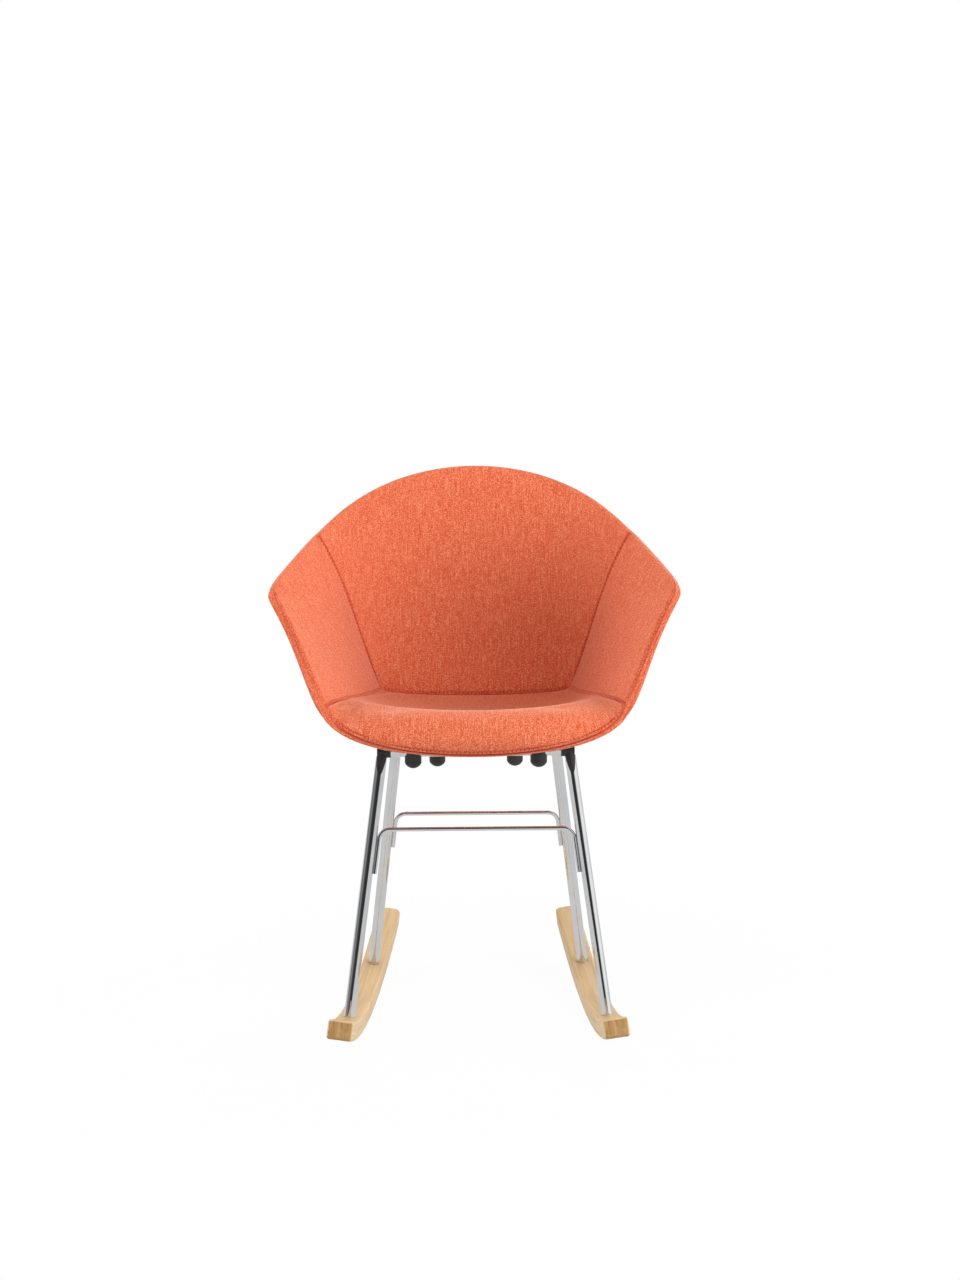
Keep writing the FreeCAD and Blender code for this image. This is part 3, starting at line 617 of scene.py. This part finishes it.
# The rockers' arc and how they stand, in metres and degrees, for the run of the grain
ROCKER_RADIUS = 1.130
ROCKER_ROLL = 7.0
ROCKER_YAW = 4.5
ROCKER_OFFSET = 0.175
ROCKER_LIFT = 0.0017


def beech_material(name, side):
    """Bent beech: grain that runs along the rocker's arc, short flecks, and darker end grain."""
    material, s = new_material(name)
    place = s.node("TexCoord").outputs["Object"]
    turn = (0.0, math.radians(-side * ROCKER_ROLL), math.radians(side * ROCKER_YAW))
    own = s.node(
        "Mapping", {"Vector": place, "Location": (side * ROCKER_OFFSET, 0, ROCKER_LIFT), "Rotation": turn},
        vector_type="TEXTURE",
    ).outputs[0]
    x, y, z = s.split(own)
    down = s.math("SUBTRACT", ROCKER_RADIUS, z)
    ring = s.math("SQRT", s.plus(s.times(y, y), s.times(down, down)))
    run = s.times(s.math("ARCTAN2", y, down), ROCKER_RADIUS)
    seed = 3.0 + side
    long_grain = s.noise(s.join(x, s.times(run, 0.035), s.plus(ring, seed)), 260.0, 4.0, 0.6)
    bands = s.noise(s.join(s.times(x, 0.5), s.times(run, 0.02), ring), 90.0, 2.0)
    fine = s.noise(s.join(x, s.times(run, 0.09), ring), 1100.0, 3.0, 0.65)
    flecks = s.ramp(fine, [(0.60, grey(0.0)), (0.72, grey(1.0))])
    tone = s.plus(s.times(long_grain, 0.6), s.times(bands, 0.4))
    wood = s.ramp(tone, [
        (0.36, (0.47, 0.315, 0.150)), (0.5, (0.56, 0.395, 0.205)), (0.64, (0.64, 0.475, 0.265)),
    ])
    wood = s.mix(s.times(flecks, 0.3), wood, (0.39, 0.235, 0.10))
    normal = s.node("NewGeometry").outputs["Normal"]
    normal = s.node("Mapping", {"Vector": normal, "Rotation": turn}, vector_type="TEXTURE").outputs[0]
    end = s.math("ABSOLUTE", s.split(normal)[1])
    end = s.node("MapRange", {"Value": end, "From Min": 0.6, "From Max": 0.9}).outputs[0]
    rings = s.noise(s.join(x, 0.0, s.times(ring, 0.35)), 170.0, 3.0, 0.6)
    end_colour = s.ramp(rings, [
        (0.34, (0.27, 0.145, 0.055)), (0.52, (0.35, 0.205, 0.082)), (0.68, (0.42, 0.265, 0.115)),
    ])
    colour = s.mix(end, wood, end_colour)
    height = s.math("SUBTRACT", long_grain, s.times(flecks, 0.5))
    s.finish(
        Base_Color=colour, Roughness=s.between(fine, 0.36, 0.55), Normal=s.bump(height, 0.12, 0.0004),
        Coat_Weight=0.12, Coat_Roughness=0.3,
    )
    return material


def chrome_material():
    """Polished chrome with faint wipe marks."""
    material, s = new_material("chrome")
    place = s.node("TexCoord").outputs["Object"]
    x, y, z = s.split(place)
    marks = s.noise(s.join(x, y, s.times(z, 0.2)), 160.0, 4.0, 0.7)
    haze = s.noise(place, 22.0, 2.0)
    rough = s.plus(s.between(marks, 0.02, 0.06), s.times(haze, 0.03))
    tint = s.ramp(haze, [(0.3, (0.74, 0.75, 0.77)), (0.7, (0.82, 0.825, 0.83))])
    s.finish(Base_Color=tint, Metallic=1.0, Roughness=rough, Normal=s.bump(marks, 0.02, 0.0002))
    return material


def plastic_material(name, dark, light, rough):
    """Moulded plastic with a fine spark-eroded grain."""
    material, s = new_material(name)
    place = s.node("TexCoord").outputs["Object"]
    grain = s.noise(place, 2600.0, 2.0)
    cloud = s.noise(place, 60.0, 3.0)
    tint = s.ramp(cloud, [(0.3, dark), (0.7, light)])
    s.finish(
        Base_Color=tint, Roughness=s.between(grain, rough, rough + 0.18), Normal=s.bump(grain, 0.25, 0.0002),
    )
    return material


def metal_material(name, dark, light, rough):
    """Turned metal: fine tool marks and a little tarnish."""
    material, s = new_material(name)
    place = s.node("TexCoord").outputs["Object"]
    marks = s.noise(place, 1800.0, 2.0)
    tarnish = s.noise(place, 140.0, 3.0)
    tint = s.ramp(tarnish, [(0.3, dark), (0.7, light)])
    s.finish(
        Base_Color=tint, Metallic=1.0, Roughness=s.between(marks, rough, rough + 0.2),
        Normal=s.bump(marks, 0.15, 0.0001),
    )
    return material


# seam is the colour of the shade painted along the seams and the rows of stitches
fabric = wool_fabric(
    "coral_wool", dark=(0.44, 0.058, 0.020), base=(0.575, 0.112, 0.046), light=(0.74, 0.28, 0.165),
    seam=(0.42, 0.030, 0.008),
)
thread = thread_material("coral_thread", (0.68, 0.165, 0.08))
# Dark discs at the needle holes: painted shade of the holes, darker than the fabric and the thread
painted_hole_shade = thread_material("painted_hole_shade", (0.42, 0.03, 0.01))
chrome = chrome_material()
black_plastic = plastic_material("black_plastic", grey(0.012), grey(0.022), 0.42)
shell_plastic = plastic_material("shell_plastic", grey(0.02), grey(0.032), 0.5)
zinc = metal_material("zinc_steel", (0.42, 0.43, 0.45), (0.6, 0.61, 0.62), 0.28)
brass = metal_material("brass", (0.45, 0.30, 0.10), (0.66, 0.48, 0.2), 0.25)
beech = {word: beech_material(word + "_beech", side) for word, side in SIDES.items()}

for name, item in nodes.items():
    word = "left" if "left" in name else "right"
    if name.endswith(("_rocker", "_foot_plug")):
        finish = beech[word]
    elif name.endswith(("_leg", "_cross_bar", "_brace_rod")):
        finish = chrome
    elif name.endswith("_shell_insert"):
        finish = brass
    elif name.endswith(("_foot_insert", "_foot_screw", "_shell_bolt")):
        finish = zinc
    elif name == "seat_shell":
        finish = shell_plastic
    else:
        finish = black_plastic
    item.data.materials.clear()
    item.data.materials.append(finish)


# The padded panels that face the sitter

def rounding(away, reach, depth):
    """How far a rounded edge has dropped, at a distance from the rim."""
    share = np.clip(1 - away / reach, 0, 1)
    return depth * (1 - np.sqrt(1 - share ** 2))


def panel_net(name):
    """A panel's net without what the outer cover takes up along the rim."""
    distances = dict.fromkeys(EDGES, HALF_GAP)
    for edge, lip in RIM_LIPS[name].items():
        distances[edge] = lip + HALF_GAP
    if "arm" in name:
        distances["first"] = np.array(ARM_STRIP)[:, None] + HALF_GAP
    return drawn_in(nets[name], distances)


class RimLine:
    """The rim along one edge of a panel, point by point."""

    def __init__(self, name, edge):
        us, vs = SAMPLES[name]
        here = edge_index(edge)
        self.line = surface(nets[name], us, vs)[here]
        seam = surface(panel_net(name), us, vs)[here]
        self.inward = unit(seam - self.line)
        self.width = np.linalg.norm(seam - self.line, axis=-1)
        self.outward = unit(surface(deeper(name, nets[name], SKIN_BACK), us, vs)[here] - self.line)
        along = vs if edge in ("first", "last") else us
        guides = np.full(len(nets[name][here]), float(RIM_LIPS[name][edge] == FRONT_LIP))
        if "arm" in name:
            guides[-1 if edge == "first" else 0] = 0.5
        self.front = bernstein(len(guides), along) @ guides
        self.reach, self.depth = (
            low + (high - low) * self.front for low, high in zip(TOP_ROUND, FRONT_ROUND)
        )


def over_grid(edge, values):
    """Values along an edge, shaped to go with the grid that the edge belongs to."""
    return values[None, :] if edge in ("first", "last") else values[:, None]


def seam_strength(name, edge):
    """How strongly a seam shows, point by point along it: little down in the dip of the seat."""
    us, vs = SAMPLES[name]
    along = vs if edge in ("first", "last") else us
    if (name, edge) in (("seat", "high"), ("back", "low")):
        return np.full(len(along), DIP_STRENGTH)
    if edge == "low" or name == "seat":
        return np.interp(along, DIP_FADE, (1.0, DIP_STRENGTH))
    return np.ones(len(along))


def stitch_row(name, edge):
    """How far the row of stitches along a seam is from it, where there is one."""
    return STITCH_ROWS[name.split("_")[-1]].get(edge)


def sitter_face(name):
    """The fabric that faces the sitter, crowned by simulation, rounded toward the rim and drawn in
    along its seams; then the back of its foam, and the shade painted along its seams."""
    net = panel_net(name)
    back_net = deeper(name, net, FOAM_BACK, SEAT_EXTRA)
    us, vs = SAMPLES[name]
    grid = surface(net, us, vs)
    lines, lift = puffed(name, net, back_net)
    lift = at_share(lift, lines, *np.meshgrid(us, vs, indexing="ij"))
    normals = grid_normals(grid, BEHIND[name])
    sink = np.zeros(grid.shape[:2])
    drop = np.zeros(grid.shape[:2])
    shade = np.zeros(grid.shape[:2])
    for edge in EDGES:
        away = runs_from(grid, edge)
        share = over_grid(edge, seam_strength(name, edge))
        if edge in RIM_LIPS[name]:
            rim = RimLine(name, edge)
            width, reach, depth, share = (
                over_grid(edge, values) for values in (rim.width, rim.reach, rim.depth, rim.front)
            )
            drop = np.maximum(drop, rounding(away + width, reach, depth))
        row = stitch_row(name, edge)
        sink = np.maximum(sink, share * seam_sink(away, row))
        shade = np.maximum(shade, share * painted_seam_shade(away, row))
    return grid + lift + normals * (sink + drop)[..., None], surface(back_net, us, vs), shade


sitter_faces = {}
for name in nets:
    front, back, shade = sitter_face(name)
    sitter_faces[name] = front
    columns, rows = front.shape[:2]
    flip = not faces_sitter(name, front)
    uvs = weave_uvs(front).reshape(-1, 2)
    pad = new_object(
        name + "_upholstery", np.concatenate([front.reshape(-1, 3), back.reshape(-1, 3)]),
        pad_faces(columns, rows, flip), fabric, np.concatenate([uvs, uvs]), [shade, np.zeros_like(shade)],
    )
    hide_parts(name + "_cover", name + "_foam")
    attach(pad, BODY)


# The outer cover, turned over the rim

def outer_face(name):
    """The outside of the bucket, rounded toward the rim and drawn in along its seams; then the shade
    painted along its seams."""
    us, vs = SAMPLES[name]
    grid = surface(deeper(name, nets[name], SKIN_BACK, SEAT_EXTRA), us, vs)
    normals = grid_normals(grid, BEHIND[name])
    inward = np.zeros(grid.shape[:2])
    shade = np.zeros(grid.shape[:2])
    for edge in EDGES:
        away = runs_from(grid, edge)
        if edge in RIM_LIPS[name]:
            inward = np.maximum(inward, rounding(away, OUTSIDE_ROUND, OUTSIDE_ROUND))
        else:
            inward = np.maximum(inward, OUTER_GROOVE * seam_sink(away, STITCH_OFFSET))
            shade = np.maximum(shade, painted_seam_shade(away, STITCH_OFFSET))
    return grid - normals * inward[..., None], shade


outer_faces, outer_shades = {}, {}
for name in nets:
    outer_faces[name], outer_shades[name] = outer_face(name)

# The rim as one loop: the panel, its edge, and whether the loop runs along it backward
RIM_LOOP = (
    ("seat", "low", False), ("right_arm", "first", False), ("right_arm", "high", False),
    ("back", "high", True), ("left_arm", "high", True), ("left_arm", "first", True),
)
# Where the rows of the turned rim lie: shares of its width, then shares of the way to the outside
TURNED_ROWS = (0.95, 0.84, 0.68, 0.5, 0.32, 0.16, 0.05, 0.0)
OUTWARD_ROWS = (0.25, 0.5, 0.75, 1.0)


def rim_roll():
    """Rows of points from the rim seam over the edge to the outside, all round the bucket, and the
    shade painted on them along the seam."""
    strips = []
    for name, edge, backward in RIM_LOOP:
        here = edge_index(edge)
        rim = RimLine(name, edge)
        rows = [sitter_faces[name][here]]
        shades = [rim.front]
        for share in TURNED_ROWS:
            away = rim.width * share
            welt = WELT * rim.front * math.sqrt(math.sin(math.pi * share)) if share else 0.0
            height = rounding(away, rim.reach, rim.depth) - welt
            rows.append(rim.line + rim.inward * away[:, None] + rim.outward * height[:, None])
            shades.append(rim.front * ridge(rim.width - away, SHADE_WIDTH))
        edge_row = rows[-1]
        bulge_share = TOP_BULGE_SHARE + (1 - TOP_BULGE_SHARE) * rim.front
        for share in OUTWARD_ROWS:
            bulge = EDGE_BULGE * bulge_share * math.sin(math.pi * share)
            straight = edge_row * (1 - share) + outer_faces[name][here] * share
            rows.append(straight - rim.inward * bulge[:, None])
            shades.append(np.zeros_like(rim.front))
        order = slice(None, None, -1) if backward else slice(None)
        strips.append((np.stack(rows, axis=1)[order], np.stack(shades, axis=1)[order]))
    return strips


def open_holes(bm):
    """Opens a round hole in the outer cover's underside for each boss."""
    for place in BOSSES:
        centre = Vector((*place, 0)) * MM

        def out_from(spot):
            return Vector((spot.x - centre.x, spot.y - centre.y, 0))

        near = [
            face for face in bm.faces
            if face.normal.z < -0.5 and out_from(face.calc_center_median()).length < BOSS_HOLE * MM
        ]
        bmesh.ops.delete(bm, geom=near, context="FACES")
        for vert in bm.verts:
            if vert.is_boundary and out_from(vert.co).length < 2 * BOSS_HOLE * MM:
                step = out_from(vert.co)
                step = step.normalized() * (BOSS_HOLE * MM - step.length)
                step.z = -step.dot(vert.normal) / vert.normal.z
                vert.co += step


def outer_cover():
    """All the outer panels and the turned rim as one sheet."""
    verts, uvs, shades, faces = [], [], [], []

    def add(grid, flip, uv, shade):
        start = sum(len(v) for v in verts)
        faces.extend(grid_faces(grid.shape[0], grid.shape[1], start, flip))
        verts.append(grid.reshape(-1, 3))
        uvs.append(uv.reshape(-1, 2))
        shades.append(shade.ravel())

    for name, grid in outer_faces.items():
        add(grid, faces_sitter(name, grid), weave_uvs(grid), outer_shades[name])
    for strip, shade in rim_roll():
        add(strip, True, weave_uvs(strip)[..., ::-1], shade)
    item = new_object(
        "outer_cover_fabric", np.concatenate(verts), faces, fabric, np.concatenate(uvs),
        np.concatenate(shades),
    )
    bm = bmesh.new()
    bm.from_mesh(item.data)
    bmesh.ops.remove_doubles(bm, verts=bm.verts, dist=MERGE_DISTANCE * MM)
    bmesh.ops.recalc_face_normals(bm, faces=bm.faces)
    open_holes(bm)
    bm.to_mesh(item.data)
    bm.free()
    thickness = item.modifiers.new("thickness", "SOLIDIFY")
    thickness.thickness = OUTER_THICKNESS * MM
    thickness.offset = -1
    return item


cover = outer_cover()
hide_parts("outer_cover")
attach(cover, BODY)


# Stitches: short arches of thread along the seams, with dark discs between them that paint the shade of the
# needle holes

# A direction that no stitch runs along
SKEW = (0.31, 0.52, 0.79)
THREAD_CORNERS = 6
HOLE_CORNERS = 8
# A stitch from end to end: shares of its length, and its rise in radii of the thread
STITCH_SHARES = np.array([0, 0.12, 0.3, 0.5, 0.7, 0.88, 1.0])
STITCH_RISE = np.array([-0.9, 0.1, 0.5, 0.6, 0.5, 0.1, -0.9])
# The patch of painted needle-hole shade from its foot to its top: heights, and shares of its radius
HOLE_HEIGHTS = (-0.5, 0.02, 0.12)
HOLE_WIDTHS = np.array([1.0, 1.0, 0.6])
# How far along a line its direction is read
STEP_AHEAD = 0.5


def tube(path, radius, corners, across=SKEW, stretch=1.0):
    """A closed tube along a path, which may be wider in one direction across it."""
    path = np.asarray(path)
    tangents = unit(np.gradient(path, axis=0))
    side = unit(np.cross(tangents, across))
    other = np.cross(tangents, side) * stretch
    turns = np.arange(corners) * 2 * math.pi / corners
    ring = np.cos(turns)[:, None] * side[:, None] + np.sin(turns)[:, None] * other[:, None]
    verts = (path[:, None] + ring * np.asarray(radius).reshape(-1, 1, 1)).reshape(-1, 3)
    faces = []
    for i in range(len(path) - 1):
        for k in range(corners):
            a, b = i * corners + k, i * corners + (k + 1) % corners
            faces.append((a, b, b + corners, a + corners))
    faces.append(tuple(range(corners))[::-1])
    faces.append(tuple((len(path) - 1) * corners + k for k in range(corners)))
    return verts, faces


def stitch_line(grid, behind, edge, offset):
    """A line on a panel at a distance from an edge, with the normals toward the viewer."""
    runs = runs_from(grid, edge)
    normals = -grid_normals(grid, behind)
    line, facing = [], []
    count = grid.shape[1] if edge in ("first", "last") else grid.shape[0]
    for k in range(count):
        row = np.s_[:, k] if edge in ("first", "last") else np.s_[k, :]
        order = np.argsort(runs[row])
        away = runs[row][order]
        line.append([np.interp(offset, away, grid[row][order][:, axis]) for axis in range(3)])
        facing.append([np.interp(offset, away, normals[row][order][:, axis]) for axis in range(3)])
    return np.array(line), unit(np.array(facing))


class Sewing:
    """Collects the threads and the painted needle-hole shade of many seams."""

    def __init__(self):
        self.parts = {"thread": ([], []), "hole": ([], [])}
        self.counts = {"thread": 0, "hole": 0}

    def add(self, kind, verts, faces):
        held, found = self.parts[kind]
        start = self.counts[kind]
        held.append(verts)
        found.extend(tuple(start + i for i in face) for face in faces)
        self.counts[kind] += len(verts)

    def sew(self, line, facing, trim, end_trim):
        """Stitches along a line, leaving out a length at its start and at its end."""
        run = np.concatenate([[0], np.cumsum(np.linalg.norm(np.diff(line, axis=0), axis=1))])
        whole = run[-1] - trim - end_trim
        count = int(whole / STITCH_PITCH)
        if count < 1:
            return
        pitch = whole / count

        def read(values, at):
            return np.array([np.interp(at, run, values[:, axis]) for axis in range(3)]).T

        for k in range(count):
            start = trim + k * pitch + (pitch - STITCH_LENGTH) / 2
            at = start + STITCH_LENGTH * STITCH_SHARES
            rise = THREAD_RADIUS * STITCH_RISE
            path = read(line, at) + unit(read(facing, at)) * rise[:, None]
            self.add("thread", *tube(path, np.full(len(at), THREAD_RADIUS), THREAD_CORNERS))
            middle = np.array([start - (pitch - STITCH_LENGTH) / 2])
            centre, up = read(line, middle)[0], unit(read(facing, middle))[0]
            ahead = read(line, middle + STEP_AHEAD)[0] - centre
            disc = np.array([centre + up * height for height in HOLE_HEIGHTS])
            across = np.cross(up, ahead)
            self.add("hole", *tube(disc, HOLE_WIDTHS * HOLE_RADIUS, HOLE_CORNERS, across, HOLE_STRETCH))

    def finish(self, prefix):
        made = []
        for kind, material in (("thread", thread), ("hole", painted_hole_shade)):
            held, found = self.parts[kind]
            item = new_object("%s_%s" % (prefix, kind), np.concatenate(held), found, material)
            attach(item, BODY)
            made.append(item)
        return made


inner_sewing = Sewing()
for name, grid in sitter_faces.items():
    for edge in EDGES:
        row = stitch_row(name, edge)
        if row is not None:
            end_trim = TIP_TRIM if edge == "first" else SEAM_TRIM
            inner_sewing.sew(*stitch_line(grid, BEHIND[name], edge, row), SEAM_TRIM, end_trim)
inner_sewing.finish("inner_stitches")

outer_sewing = Sewing()
for name, grid in outer_faces.items():
    for edge in EDGES:
        if edge not in RIM_LIPS[name]:
            line, facing = stitch_line(grid, BEHIND[name], edge, STITCH_OFFSET)
            outer_sewing.sew(line, -facing, SEAM_TRIM, SEAM_TRIM)
outer_sewing.finish("outer_stitches")


# Floor, light and camera

def white_ground():
    """A floor that shows white to the camera, but for a faint shadow, and pale to reflections."""
    material, s = new_material("white_ground")
    rays = s.node("LightPath").outputs
    place = s.node("TexCoord").outputs["Object"]
    away = s.node("VectorMath", {0: place}, operation="LENGTH").outputs["Value"]
    own_light = s.node(
        "MapRange", {"Value": away, "From Min": 0.45, "From Max": 1.1, "To Min": 0.965, "To Max": 1.0},
        interpolation_type="SMOOTHSTEP",
    ).outputs[0]
    plain = s.node("BsdfDiffuse", {"Color": (0.65, 0.65, 0.65, 1.0)})
    white = s.node("Emission", {"Color": (1.0, 1.0, 1.0, 1.0), "Strength": 1.0})
    pale = s.node("Emission", {"Color": (1.0, 1.0, 1.0, 1.0), "Strength": 0.68})
    to_camera = s.times(rays["Is Camera Ray"], own_light)
    shown = s.node("MixShader", {0: to_camera, 1: plain.outputs[0], 2: white.outputs[0]})
    mixed = s.node("MixShader", {0: rays["Is Glossy Ray"], 1: shown.outputs[0], 2: pale.outputs[0]})
    output = s.node("OutputMaterial")
    s.tree.links.new(mixed.outputs[0], output.inputs[0])
    return material


FLOOR_REACH = 30000
floor_corners = [(x * FLOOR_REACH, y * FLOOR_REACH, 0) for x, y in ((-1, -1), (1, -1), (1, 1), (-1, 1))]
floor = new_object("floor", floor_corners, [(0, 1, 2, 3)], white_ground())


def studio_world():
    """White to the camera, faint even light, and a room with a dark front for the chrome to mirror."""
    world = bpy.data.worlds.new("studio")
    bpy.context.scene.world = world
    s = Shader(world)
    rays = s.node("LightPath").outputs
    x, y, z = s.split(s.node("TexCoord").outputs["Generated"])
    turn = s.math("ARCTAN2", x, s.times(y, -1.0))
    share = s.plus(s.math("DIVIDE", turn, 2 * math.pi), 0.5)
    around = s.ramp(share, [
        (0.0, grey(0.5)), (0.14, grey(0.22)), (0.25, grey(0.18)), (0.33, grey(0.30)), (0.385, grey(0.10)),
        (0.44, grey(0.04)), (0.525, grey(0.03)), (0.565, grey(0.10)), (0.60, grey(0.92)), (0.71, grey(1.0)),
        (0.80, grey(0.75)), (1.0, grey(0.8)),
    ])
    above = s.node("MapRange", {"Value": z, "From Min": 0.75, "From Max": 0.95}).outputs[0]
    mirrored_room = s.mix(above, around, grey(0.85))
    lit = s.node("Background", {"Color": (1.0, 1.0, 1.0, 1.0), "Strength": 0.04})
    mirror = s.node("Background", {"Color": mirrored_room, "Strength": 1.0})
    white = s.node("Background", {"Color": (1.0, 1.0, 1.0, 1.0), "Strength": 1.0})
    glossy = s.node("MixShader", {0: rays["Is Glossy Ray"], 1: lit.outputs[0], 2: mirror.outputs[0]})
    final = s.node("MixShader", {0: rays["Is Camera Ray"], 1: glossy.outputs[0], 2: white.outputs[0]})
    output = s.node("OutputWorld")
    s.tree.links.new(final.outputs[0], output.inputs[0])


studio_world()


SEAT_MIDDLE = Vector((0, 0, 0.55))
LAMP_DISTANCE = 3.6
LAMP_SIZE = 2.0
# Degrees round from the front toward +X, then degrees up, then watts
LAMPS = {
    "left_side": (-75, 10, 105), "right_side": (75, 18, 102), "front_low": (40, 10, 66),
    "front_high": (-15, 60, 78), "rear_left": (-150, 35, 50), "rear_right": (150, 35, 50),
}


def area_light(name, around, up, watts):
    """A square soft lamp that points at the seat."""
    data = bpy.data.lights.new(name, "AREA")
    data.size = LAMP_SIZE
    data.energy = watts
    lamp = bpy.data.objects.new(name, data)
    around, up = math.radians(around), math.radians(up)
    way = Vector((math.sin(around) * math.cos(up), -math.cos(around) * math.cos(up), math.sin(up)))
    lamp.location = SEAT_MIDDLE + way * LAMP_DISTANCE
    lamp.rotation_mode = "QUATERNION"
    lamp.rotation_quaternion = (-way).to_track_quat("-Z", "Y")
    lamp.visible_glossy = False
    bpy.context.scene.collection.objects.link(lamp)


for name, (around, up, watts) in LAMPS.items():
    area_light(name, around, up, watts)

# The camera, found from the photograph: the image is taken to be 960 by 1280
FOCAL_PIXELS = 3490
IMAGE_HEIGHT = 1280
SENSOR = 36.0
CAMERA_PLACE = (0.0074, -5.047, 1.412)
CAMERA_DOWN = 9.57
CAMERA_ROLL = -0.52
camera_data = bpy.data.cameras.new("camera")
camera_data.sensor_width = SENSOR
camera_data.lens = FOCAL_PIXELS / IMAGE_HEIGHT * SENSOR
camera_data.clip_end = 200
camera = bpy.data.objects.new("camera", camera_data)
pitch = Euler((math.radians(90 - CAMERA_DOWN), 0, 0)).to_matrix()
roll = Matrix.Rotation(math.radians(CAMERA_ROLL), 3, "Z")
camera.matrix_world = Matrix.Translation(CAMERA_PLACE) @ (pitch @ roll).to_4x4()
bpy.context.scene.collection.objects.link(camera)
bpy.context.scene.camera = camera
bpy.context.scene.view_settings.view_transform = "Standard"
